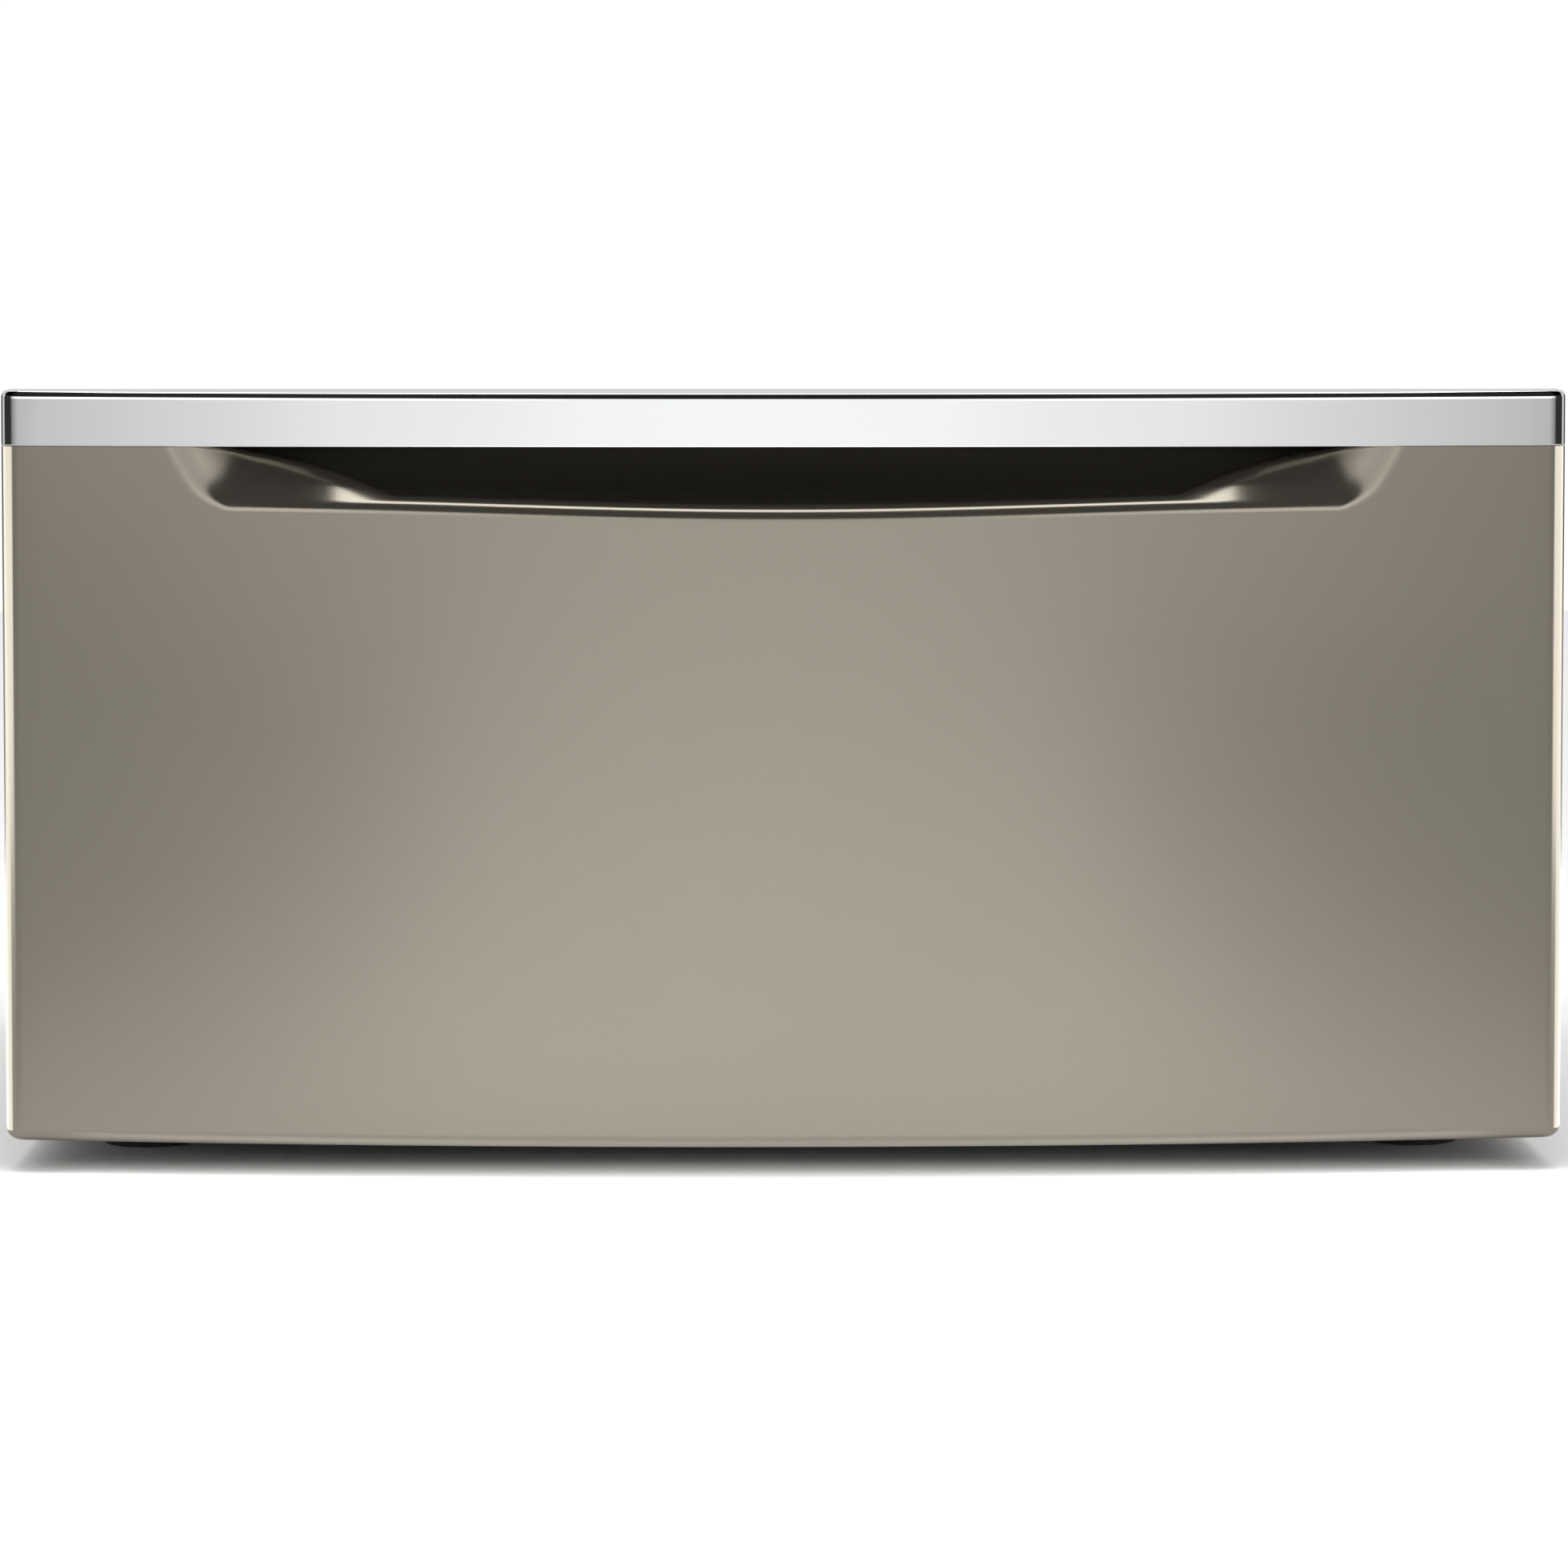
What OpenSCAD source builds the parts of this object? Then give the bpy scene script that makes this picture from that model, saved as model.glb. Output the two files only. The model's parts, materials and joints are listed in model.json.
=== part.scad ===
// Laundry pedestal: a stand for a front load washing machine, with one full-width storage drawer.
// Millimetres. +Z is up, the drawer opens towards -Y, and the origin is on the floor under the centre.

/* [Overall] */
// Width over the drawer front
width = 686; // [660:1:700]
// Depth from the middle of the bowed front to the screw heads on the back
depth = 670; // [640:5:720]
// Height from the floor to the top of the metal trim
height = 344; // [330:1:400]
// Clearance under the drawer front and the cabinet
floor_gap = 14; // [13.5:0.5:15]

/* [Drawer front] */
// How far the middle of the front stands ahead of its ends
bow = 32; // [24:1:36]
// Radius of the two upright corners
corner_r = 10; // [8:1:12]
// Thickness of the drawer front in the middle
front_t = 60; // [58:1:64]
// Height of the bright handle trim along the top
handle_h = 24.5; // [22:0.5:28]
// Wall of the painted front and of the handle trim
skin_t = 2; // [1.5:0.1:2]

/* [Handle pocket] */
// Width of the pocket in the painted front
pocket_w = 540; // [400:10:560]
// Depth of the pocket behind the middle of the face
pocket_d = 48; // [44:1:52]
// Height from the bottom of the lip to the handle trim, in the middle
pocket_h = 33; // [30:1:38]
// Radius that the lip of the pocket rolls over
lip_r = 8; // [5:0.5:8.5]
// Radius between the floor of the pocket and its back wall
pocket_back_r = 34; // [12:1:36]

/* [Cabinet] */
// How far the deck lies below the top of the trim, which hides the machine's feet
deck_drop = 34; // [32:1:38]
// Sheet of the side panels, back and rails
sheet = 1.2; // [1:0.1:1.5]
// Sheet of the deck
deck_t = 1.5; // [1.2:0.1:2]
// Distance between the machine's bolts, side to side
bolt_x = 560; // [540:5:570]
// Distance between the machine's bolts, front to back
bolt_y = 480; // [460:5:490]
// Hole for a machine bolt
bolt_hole_d = 11; // [9:0.5:12]

/* [Drawer box] */
// Bottom of the drawer box
box_z = 58; // [56:1:70]
// Top of the drawer box's walls
box_top = 266; // [230:1:268]
// Length of the drawer box behind the front
box_l = 540; // [515:1:560]

/* [Hidden] */
$fn = 48;
FINE = 720;   // segments of the very large bow circle
EPS = 0.01;

screw_head_h = 2.5;
y_front = -depth / 2;
y_back = y_front + front_t;               // back plane of the drawer front
bow_r = (pow(width / 2, 2) + bow * bow) / (2 * bow);
bow_cy = y_front + bow_r;                 // centre of the bow circle
z_trim = height - handle_h;               // lower edge of the handle trim

cab_hw = width / 2 - 1.5;                 // outer half width of the cabinet
cab_front = y_back + 4;                   // front plane of the cabinet
cab_rear = depth / 2 - screw_head_h;      // rear plane of the deck's back flange
z_deck = height - deck_drop;              // the face that the machine stands on
wrap_y0 = cab_front + deck_t;             // front edge of the side panels
wrap_y1 = cab_rear - deck_t - sheet;      // rear edge of the side panels
wrap_top = z_deck - deck_t;
front_flange = 14;
rear_flange = 18;
top_flange = 20;
bottom_flange = 28;
seam = 0.1;                               // gap where two sheets only meet
rail_d = 28;
rail_hw = cab_hw - sheet - seam;
rail_y0 = wrap_y0 + sheet;
rail_y1 = wrap_y1 - sheet;
rail_z0 = floor_gap + sheet + seam;
rail_top = 44;
top_rail_z = 282;

bolt_pos = [for (x = [-1, 1]) for (y = [0, 1]) [x * bolt_x / 2, -200 + y * bolt_y]];
plate_s = 70;
plate_t = 3;

bead_w = 26;
bead_depth = 4;
bead_pitch = 100;
bead_y0 = -190;
bead_y1 = 240;

foot_x = 288;
foot_y_front = -195;
foot_y_rear = 257;
foot_pos = [[-foot_x, foot_y_front], [foot_x, foot_y_front], [-foot_x, foot_y_rear], [foot_x, foot_y_rear]];
bracket_l = 84;
bracket_t = 3;
bracket_z = rail_z0;
stem_r = 4.95;
thread_r = 5;
stem_top = 54;
pad_r = 20;
pad_h = 7;
foot_hex_h = 3.5;
weld_nut_h = 9;
lock_nut_h = 4.3;
hex_r = 9.8;                              // corner radius of a 17 mm hexagon

slide_x = 325;                            // cabinet face of the drawer slides
slide_z = 150;
slide_y0 = -264;
slide_l = 500;
slide_t = 12.7;
slide_wall = 1.2;
ball_r = 1.6;
outer_h = 45;
mid_h = 36;
inner_h = 27;
outer_ball_z = outer_h / 2 - slide_wall - ball_r - 0.05;
inner_ball_z = mid_h / 2 - slide_wall - ball_r - 0.05;
cage_t = 0.6;
cage_l = 200;
cage_y0 = -139;
ball_count = 8;
support_h = 60;
slide_screw_y = [-240, -60, 60, 200];

box_hw = slide_x - slide_t;               // outer half width of the drawer box
box_sheet = 1.2;
box_y0 = y_back + box_sheet + seam;       // inner face of the drawer's front wall
box_y1 = y_back + box_l;                  // inner face of the drawer's rear wall
rim_w = 12;
rim_drop = 9;
mat_t = 2;
floor_beads = [-220:110:220];

liner_t = 1.1;
liner_hw = width / 2 - 4.3;
stiffener_x = 180;
stiffener_w = 40;
stiffener_d = 15;
stiffener_flange = 16;
front_screw_pos = [for (s = [-1, 1]) for (d = [-28, 28]) for (z = [80, 240]) [s * stiffener_x + d, z]];
handle_screw_x = [-322, -286, 286, 322];
handle_screw_z = 334;
boss_w = 10;
boss_l = 9.3;

screw_r = 2;
screw_hole_r = 2.1;
rear_low = [for (x = [-300:150:300]) [x, 28]];
rear_side = [for (s = [-1, 1]) for (z = [70, 195, 268]) [s * (cab_hw - 9), z]];
rear_top = [for (x = [-300:150:300]) [x, z_deck - 12]];
rear_beads = [85, 155, 225];

bumper_r = 4.5;
bumper_pos = [for (s = [-1, 1]) for (z = [60, 262]) [s * (cab_hw - 7), z]];

lever_y = -194;
lever_l = 54;
lever_pin_r = 2;

divider_y = -10;
divider_t = 2.4;
clip_l = 30;

// ---------------------------------------------------------------- shared shapes

// A box from its lowest corner to its highest corner.
module span(low, high) {
    translate(low) cube([high[0] - low[0], high[1] - low[1], high[2] - low[2]]);
}

// The same shape on the right-hand side, for s = 1, or as drawn on the left, for s = -1.
module side(s) {
    if (s < 0) children();
    else mirror([1, 0, 0]) children();
}

// A cylinder along Y, from y0 to y1.
module rod_y(x, z, y0, y1, r, fn = 32) {
    translate([x, y1, z]) rotate([90, 0, 0]) cylinder(h = y1 - y0, r = r, $fn = fn);
}

// A cylinder along X, from x0 to x1.
module rod_x(y, z, x0, x1, r, fn = 32) {
    translate([x0, y, z]) rotate([0, 90, 0]) cylinder(h = x1 - x0, r = r, $fn = fn);
}

// Plan of the bowed drawer front, inset from its outer face, and reaching back to y_end.
module front_plan(inset, y_end) {
    cx = width / 2 - corner_r;
    cy = bow_cy - sqrt(pow(bow_r - corner_r, 2) - cx * cx);
    reach = 1.2;
    hw = width / 2 - inset;
    intersection() {
        translate([0, bow_cy]) circle(r = bow_r - inset, $fn = FINE);
        polygon([[0, bow_cy], [cx * reach, bow_cy + (cy - bow_cy) * reach],
                 [-cx * reach, bow_cy + (cy - bow_cy) * reach]]);
        translate([-width, y_front - 5]) square([2 * width, y_end - y_front + 5]);
    }
    for (s = [-1, 1]) translate([s * cx, cy]) circle(r = corner_r - inset, $fn = 96);
    translate([-hw, cy]) square([2 * hw, y_end - cy]);
}

// The bowed front as a solid, inset from its outer face.
module front_prism(inset, z0, z1, y_end) {
    translate([0, 0, z0]) linear_extrude(height = z1 - z0) front_plan(inset, y_end);
}

// ---------------------------------------------------------------- handle pocket

pocket_z0 = z_trim - pocket_h;            // height where the face starts to roll over the lip
pocket_floor = pocket_z0 + lip_r;
pocket_top = height - 8;
pocket_wall = 1.6;
pocket_y = y_front + pocket_d;            // plane of the pocket's back wall
lip_tilt = 24;                            // the lip climbs towards both ends of the pocket
lip_path_r = bow_r * cos(lip_tilt);
ramp_r1 = 30;                             // the ends roll in over this radius
ramp_r2 = 120;                            // and run into the back wall over this one
ramp_a = asin(pocket_w / 2 / bow_r);
ramp_c1 = [(bow_r - ramp_r1 + 0.3) * sin(ramp_a), bow_cy - (bow_r - ramp_r1 + 0.3) * cos(ramp_a)];
ramp_c2y = pocket_y - ramp_r2;
ramp_c2 = [ramp_c1[0] - sqrt(pow(ramp_r1 + ramp_r2, 2) - pow(ramp_c1[1] - ramp_c2y, 2)), ramp_c2y];
end_r = 25;
end_drop = 4;                             // the outline's ends stand this much above the middle of the lip

// Section across the lip as [depth, height], grown by t: everything above the lip and the pocket's floor.
module lip_section(t) {
    top = pocket_top + 30;
    r = lip_r - t;
    polygon(concat([[-4, top], [-4, pocket_z0]],
                   [for (a = [180:-11.25:90]) [lip_r + r * cos(a), pocket_z0 + r * sin(a)]],
                   [[60, pocket_floor - t], [60, top]]));
}

// The lip's path follows the bow, in a plane that climbs towards the back by lip_tilt.
module lip_sweep(t) {
    translate([0, y_front, pocket_z0]) rotate([lip_tilt, 0, 0]) translate([0, lip_path_r, 0])
        rotate([0, 0, -100.5]) rotate_extrude(angle = 21, $fn = FINE)
            translate([lip_path_r, 0]) mirror([1, 0]) rotate(-lip_tilt) translate([0, -pocket_z0])
                lip_section(t);
}

// Section of the pocket's floor and back wall, along the whole pocket, grown by t.
module pocket_back(t) {
    r = pocket_back_r;
    rotate([90, 0, 90]) translate([0, 0, -width / 2]) linear_extrude(height = width) {
        intersection() {
            translate([pocket_y - r, pocket_floor - t]) square([r + t, r + t]);
            translate([pocket_y - r, pocket_floor + r]) circle(r = r + t, $fn = 144);
        }
        translate([y_front - 10, pocket_z0 - 5])
            square([pocket_d + 10 - r, pocket_top + t - pocket_z0 + 5]);
        translate([y_front - 10, pocket_floor + r])
            square([pocket_d + 10 + t, pocket_top + t - pocket_floor - r]);
    }
}

// Plan of the pocket, grown by t, with a ramp at each end.
module pocket_plan(t) {
    c1 = ramp_c1;
    c2 = ramp_c2;
    x0 = c1[0] + (c2[0] - c1[0]) * (ramp_r1 - t) / (ramp_r1 + ramp_r2);
    y0 = y_front - 10;
    translate([-c2[0], y0]) square([2 * c2[0], pocket_y + t - y0]);
    for (s = [0, 1]) mirror([s, 0]) {
        translate(c2) circle(r = ramp_r2 + t + 0.1, $fn = 360);
        difference() {
            translate([x0, y0]) square([c1[0] + 3 - x0, c1[1] - y0]);
            translate(c1) circle(r = ramp_r1 - t, $fn = 180);
        }
    }
}

// Outline of the pocket seen from the front, grown by t.
module pocket_outline(t) {
    hw = pocket_w / 2 - 2 + t;
    z0 = pocket_z0 + end_drop - t;
    r = end_r + t;
    translate([0, y_back, 0]) rotate([90, 0, 0]) linear_extrude(height = front_t + 20) {
        translate([-hw + r, z0 - 12]) square([2 * (hw - r), height + 12 - z0]);
        translate([-hw, z0 + r]) square([2 * hw, height - z0 - r]);
        for (k = [-1, 1]) translate([k * (hw - r), z0 + r]) circle(r = r, $fn = 120);
    }
}

// The space in the pocket, grown by t.
module pocket(t) {
    intersection() {
        lip_sweep(t);
        pocket_back(t);
        translate([0, 0, pocket_z0 - 10]) linear_extrude(height = height + 20 - pocket_z0) pocket_plan(t);
        pocket_outline(t);
    }
}

// ---------------------------------------------------------------- drawer front

module drawer_front_panel() color([0.62, 0.59, 0.53]) {
    neck_in = skin_t + 0.2;
    difference() {
        union() {
            difference() {
                front_prism(0, floor_gap, z_trim, y_back);
                front_prism(skin_t, floor_gap + skin_t, z_trim - skin_t, y_back + 1);
                front_prism(neck_in + skin_t, z_trim - skin_t - 1, z_trim + 1, y_back + 1);
            }
            difference() {
                front_prism(neck_in, z_trim - 1, height - 4, y_back);
                front_prism(neck_in + skin_t, z_trim - 1, height, y_back + 1);
            }
            intersection() {
                pocket(pocket_wall);
                union() {
                    front_prism(0, floor_gap, z_trim, y_back);
                    front_prism(neck_in, z_trim - 1, height, y_back);
                }
            }
        }
        pocket(0);
    }
}

module chrome_handle() color([0.86, 0.86, 0.87]) {
    difference() {
        union() {
            difference() {
                front_prism(0, z_trim, height, y_back);
                front_prism(skin_t, z_trim - 1, height - skin_t, y_back + 1);
            }
            for (x = handle_screw_x)
                span([x - boss_w / 2, y_back - liner_t - boss_l - seam, handle_screw_z - 6],
                     [x + boss_w / 2, y_back - liner_t - seam, height - skin_t + EPS]);
        }
        for (x = handle_screw_x)
            rod_y(x, handle_screw_z, y_back - liner_t - 8.5, y_back, screw_r + 0.05);
    }
}

module drawer_front_liner() color([0.72, 0.73, 0.74]) {
    difference() {
        span([-liner_hw, y_back - liner_t, floor_gap + skin_t + seam],
             [liner_hw, y_back, height - skin_t - seam]);
        for (p = front_screw_pos) rod_y(p[0], p[1], y_back - 2, y_back + 1, screw_hole_r);
        for (x = handle_screw_x) rod_y(x, handle_screw_z, y_back - 2, y_back + 1, screw_hole_r);
    }
}

module front_stiffeners() color([0.72, 0.73, 0.74]) {
    y1 = y_back - liner_t;
    y0 = y1 - stiffener_d;
    hw = stiffener_w / 2;
    for (s = [-1, 1]) translate([s * stiffener_x, 0, 0]) difference() {
        union() {
            span([-hw, y0, 30], [hw, y0 + sheet, 270]);
            for (k = [-1, 1]) {
                span([min(k * hw, k * (hw - sheet)), y0, 30], [max(k * hw, k * (hw - sheet)), y1, 270]);
                span([min(k * hw, k * (hw + stiffener_flange)), y1 - sheet, 30],
                     [max(k * hw, k * (hw + stiffener_flange)), y1, 270]);
            }
        }
        for (d = [-28, 28]) for (z = [80, 240]) rod_y(d, z, y1 - 3, y1 + 1, screw_hole_r);
    }
}

// A flanged hexagon-head screw along Y: the head stands at y, away from dir, and the shank runs along dir.
module hex_screw_y(x, z, y, dir, l) {
    head = screw_head_h;
    translate([x, y, z]) rotate([dir > 0 ? -90 : 90, 0, 0]) {
        cylinder(h = l, r = screw_r, $fn = 24);
        translate([0, 0, -0.8]) cylinder(h = 0.8, r = 5, $fn = 32);
        translate([0, 0, -head]) cylinder(h = head, r = 4, $fn = 6);
    }
}

module handle_screws() color([0.75, 0.75, 0.72]) {
    for (x = handle_screw_x) hex_screw_y(x, handle_screw_z, y_back, -1, 9);
}

module front_screws() color([0.75, 0.75, 0.72]) {
    for (p = front_screw_pos) hex_screw_y(p[0], p[1], box_y0, -1, 8);
}

// ---------------------------------------------------------------- drawer box

// One side wall of the drawer box, on the left, with an inward rim.
module drawer_side_wall() {
    x0 = -box_hw;
    difference() {
        union() {
            span([x0, box_y0, box_z], [x0 + box_sheet, box_y1, box_top]);
            span([x0, box_y0, box_top - box_sheet], [x0 + rim_w, box_y1, box_top]);
            span([x0 + rim_w - box_sheet, box_y0, box_top - rim_drop], [x0 + rim_w, box_y1, box_top]);
        }
        for (y = slide_screw_y) rod_x(y, slide_z, x0 - 1, x0 + 3, screw_hole_r);
    }
}

module drawer_left_wall() color([0.80, 0.80, 0.79]) side(-1) drawer_side_wall();
module drawer_right_wall() color([0.80, 0.80, 0.79]) side(1) drawer_side_wall();

// An end wall of the drawer box: its sheet lies between y0 and y1, and its rim points along dir.
module drawer_end_wall(y0, y1, dir) {
    rim_hw = box_hw - rim_w - 0.3;
    inner = dir > 0 ? y1 : y0;
    rim_end = inner + dir * (rim_w - box_sheet);
    span([-box_hw, y0, box_z], [box_hw, y1, box_top]);
    span([-rim_hw, min(inner, rim_end), box_top - box_sheet], [rim_hw, max(inner, rim_end), box_top]);
    span([-rim_hw, min(rim_end, rim_end - dir * box_sheet), box_top - rim_drop],
         [rim_hw, max(rim_end, rim_end - dir * box_sheet), box_top]);
}

module drawer_front_wall() color([0.80, 0.80, 0.79]) {
    difference() {
        drawer_end_wall(box_y0 - box_sheet, box_y0, 1);
        for (p = front_screw_pos) rod_y(p[0], p[1], box_y0 - 3, box_y0 + 1, screw_hole_r);
    }
}

module drawer_rear_wall() color([0.80, 0.80, 0.79]) drawer_end_wall(box_y1, box_y1 + box_sheet, -1);

module drawer_floor() color([0.80, 0.80, 0.79]) {
    hw = box_hw - box_sheet;
    w = 12;
    t = box_sheet;
    difference() {
        union() {
            span([-hw, box_y0, box_z], [hw, box_y1, box_z + t]);
            for (x = floor_beads) span([x - w, box_y0 + 50, box_z - 3], [x + w, box_y1 - 50, box_z + EPS]);
        }
        for (x = floor_beads)
            span([x - w + t, box_y0 + 50 + t, box_z - 3 + t], [x + w - t, box_y1 - 50 - t, box_z + 3]);
    }
}

module drawer_mat() color([0.16, 0.16, 0.17]) {
    x = box_hw - box_sheet - 3;
    z = box_z + box_sheet + seam;
    span([-x, box_y0 + 3, z], [x, box_y1 - 3, z + mat_t]);
}

// ---------------------------------------------------------------- divider

module divider_panel() color([0.55, 0.56, 0.57]) {
    hw = box_hw - rim_w - 3.2;
    z0 = box_z + box_sheet + mat_t + 1.2;
    span([-hw, divider_y - divider_t / 2, z0], [hw, divider_y + divider_t / 2, box_top - 4]);
    span([-hw, divider_y - 5, box_top - 7], [hw, divider_y + 5, box_top - 4]);
}

module divider_clips() color([0.13, 0.13, 0.14]) {
    x0 = -box_hw - 3.3;
    x1 = -box_hw + rim_w + 0.3;
    x2 = -box_hw + rim_w + 3.1;
    y0 = divider_y - clip_l / 2;
    y1 = divider_y + clip_l / 2;
    for (s = [-1, 1]) side(s) {
        span([x0, y0, box_top + 0.3], [x2, y1, box_top + 3.3]);
        span([x0, y0, box_top - 14], [x0 + 3, y1, box_top + 0.4]);
        span([x1, y0, box_top - 24], [x2, y1, box_top + 0.4]);
    }
}

// ---------------------------------------------------------------- drawer slides

// The slides' sections are drawn on the left, with u counted from the cabinet towards the drawer.
module u_span(u0, u1, y0, y1, z0, z1) {
    span([-slide_x + u0, y0, slide_z + z0], [-slide_x + u1, y1, slide_z + z1]);
}

// A channel with its web between web0 and web1, and its two flanges between lip0 and lip1.
module slide_channel(web0, web1, lip0, lip1, h, y0, y1) {
    u_span(web0, web1, y0, y1, -h / 2, h / 2);
    u_span(lip0, lip1, y0, y1, -h / 2, -h / 2 + slide_wall);
    u_span(lip0, lip1, y0, y1, h / 2 - slide_wall, h / 2);
}

module slide_outer() {
    y1 = slide_y0 + slide_l;
    difference() {
        union() {
            slide_channel(0, slide_wall, 0, 11.5, outer_h, slide_y0, y1);
            u_span(10.3, 11.5, slide_y0, y1, -outer_h / 2, -outer_h / 2 + 2.2);
            u_span(10.3, 11.5, slide_y0, y1, outer_h / 2 - 2.2, outer_h / 2);
        }
        for (y = slide_screw_y) rod_x(y, slide_z, -slide_x - 1, -slide_x + 3, screw_hole_r);
    }
}

module slide_middle() {
    slide_channel(2.4, 2.4 + slide_wall, 2.4, 11, mid_h, slide_y0, slide_y0 + slide_l);
}

module slide_inner() {
    difference() {
        union() {
            slide_channel(slide_t - slide_wall, slide_t, 4.8, slide_t, inner_h, slide_y0, slide_y0 + slide_l);
            rod_x(lever_y, slide_z, -slide_x + 5.6, -slide_x + slide_t - slide_wall + EPS, lever_pin_r);
        }
        for (y = slide_screw_y) rod_x(y, slide_z, -slide_x + 10, -slide_x + 14, screw_hole_r);
    }
}

// A ball cage: a thin channel whose flanges hold the balls in holes.
module ball_cage(u0, u1, ball_u, ball_z) {
    difference() {
        union() {
            u_span(u0, u0 + cage_t, cage_y0, cage_y0 + cage_l, -ball_z - cage_t / 2, ball_z + cage_t / 2);
            for (k = [-1, 1])
                u_span(u0, u1, cage_y0, cage_y0 + cage_l, k * ball_z - cage_t / 2, k * ball_z + cage_t / 2);
        }
        for (i = [0:ball_count - 1]) translate([-slide_x + ball_u, ball_y(i), slide_z - outer_h])
            cylinder(h = 2 * outer_h, r = ball_r + 0.1, $fn = 32);
    }
}

function ball_y(i) = cage_y0 + 12.5 + i * (cage_l - 25) / (ball_count - 1);

module ball_row(ball_u, ball_z) {
    for (k = [-1, 1]) for (i = [0:ball_count - 1])
        translate([-slide_x + ball_u, ball_y(i), slide_z + k * ball_z]) sphere(r = ball_r, $fn = 32);
}

module outer_cage() { ball_cage(1.5, 9.6, 6, outer_ball_z); }
module inner_cage() { ball_cage(3.9, 10.6, 7.6, inner_ball_z); }
module outer_balls() { ball_row(6, outer_ball_z); }
module inner_balls() { ball_row(7.6, inner_ball_z); }

module left_slide_outer() color([0.70, 0.71, 0.73]) side(-1) slide_outer();
module right_slide_outer() color([0.70, 0.71, 0.73]) side(1) slide_outer();
module left_slide_middle() color([0.70, 0.71, 0.73]) side(-1) slide_middle();
module right_slide_middle() color([0.70, 0.71, 0.73]) side(1) slide_middle();
module left_slide_inner() color([0.70, 0.71, 0.73]) side(-1) slide_inner();
module right_slide_inner() color([0.70, 0.71, 0.73]) side(1) slide_inner();
module left_outer_cage() color([0.55, 0.55, 0.50]) side(-1) outer_cage();
module right_outer_cage() color([0.55, 0.55, 0.50]) side(1) outer_cage();
module left_inner_cage() color([0.55, 0.55, 0.50]) side(-1) inner_cage();
module right_inner_cage() color([0.55, 0.55, 0.50]) side(1) inner_cage();
module left_outer_balls() color([0.80, 0.81, 0.83]) side(-1) outer_balls();
module right_outer_balls() color([0.80, 0.81, 0.83]) side(1) outer_balls();
module left_inner_balls() color([0.80, 0.81, 0.83]) side(-1) inner_balls();
module right_inner_balls() color([0.80, 0.81, 0.83]) side(1) inner_balls();

// The lever that frees the drawer from its slide: it rocks on the inner member's pin.
module release_lever() {
    y0 = lever_y - lever_l / 2;
    y1 = lever_y + lever_l / 2;
    difference() {
        union() {
            u_span(6, 9, y0 + 6, y1 - 6, -3, 3);
            rod_x(lever_y, slide_z, -slide_x + 6, -slide_x + 9, 5);
            u_span(6, 9, y0, y0 + 8, -4, 4);
            u_span(6, 9, y1 - 8, y1, -5, 3);
        }
        rod_x(lever_y, slide_z, -slide_x + 5, -slide_x + 10, lever_pin_r + 0.05);
    }
}

module left_release_lever() color([0.12, 0.12, 0.13]) side(-1) release_lever();
module right_release_lever() color([0.12, 0.12, 0.13]) side(1) release_lever();

// A screw along X on the left: the head is at x, and the shank runs along dir.
module pan_screw_x(y, x, dir, l) {
    translate([x, y, slide_z]) rotate([0, dir > 0 ? 90 : -90, 0]) {
        cylinder(h = l, r = screw_r, $fn = 24);
        translate([0, 0, -2]) cylinder(h = 2, r1 = 3.2, r2 = 4.2, $fn = 32);
    }
}

module slide_inner_screws() color([0.75, 0.75, 0.72]) {
    for (s = [-1, 1]) side(s) for (y = slide_screw_y) pan_screw_x(y, -box_hw + box_sheet, -1, 3.4);
}

module slide_outer_screws() color([0.75, 0.75, 0.72]) {
    for (s = [-1, 1]) side(s) for (y = slide_screw_y) pan_screw_x(y, -slide_x - sheet, 1, sheet + slide_wall);
}

// ---------------------------------------------------------------- cabinet

// The left side panel: one folded sheet with four inward flanges.
module side_panel() {
    x0 = -cab_hw;
    difference() {
        union() {
            span([x0, wrap_y0, floor_gap], [x0 + sheet, wrap_y1, wrap_top]);
            span([x0, wrap_y0, floor_gap], [x0 + front_flange, wrap_y0 + sheet, wrap_top]);
            span([x0, wrap_y1 - sheet, floor_gap], [x0 + rear_flange, wrap_y1, wrap_top]);
            span([x0, wrap_y0, wrap_top - sheet], [x0 + top_flange, wrap_y1, wrap_top]);
            span([x0, wrap_y0, floor_gap], [x0 + bottom_flange, wrap_y1, floor_gap + sheet]);
        }
        for (p = bumper_pos) if (p[0] < 0) rod_y(p[0], p[1], wrap_y0 - 1, wrap_y0 + 3, screw_r + 0.05);
        for (p = rear_side) if (p[0] < 0) rod_y(p[0], p[1], wrap_y1 - 3, wrap_y1 + 1, screw_hole_r);
    }
}

module left_side_panel() color([0.62, 0.59, 0.53]) side(-1) side_panel();
module right_side_panel() color([0.62, 0.59, 0.53]) side(1) side_panel();

// A stadium-shaped block along X or Y, used for pressed beads.
module stadium(x0, x1, y0, y1, z0, z1) {
    along_x = x1 - x0 > y1 - y0;
    r = (along_x ? y1 - y0 : x1 - x0) / 2;
    if (along_x) {
        span([x0 + r, y0, z0], [x1 - r, y1, z1]);
        for (x = [x0 + r, x1 - r]) translate([x, y0 + r, z0]) cylinder(h = z1 - z0, r = r);
    } else {
        span([x0, y0 + r, z0], [x1, y1 - r, z1]);
        for (y = [y0 + r, y1 - r]) translate([x0 + r, y, z0]) cylinder(h = z1 - z0, r = r);
    }
}

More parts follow.
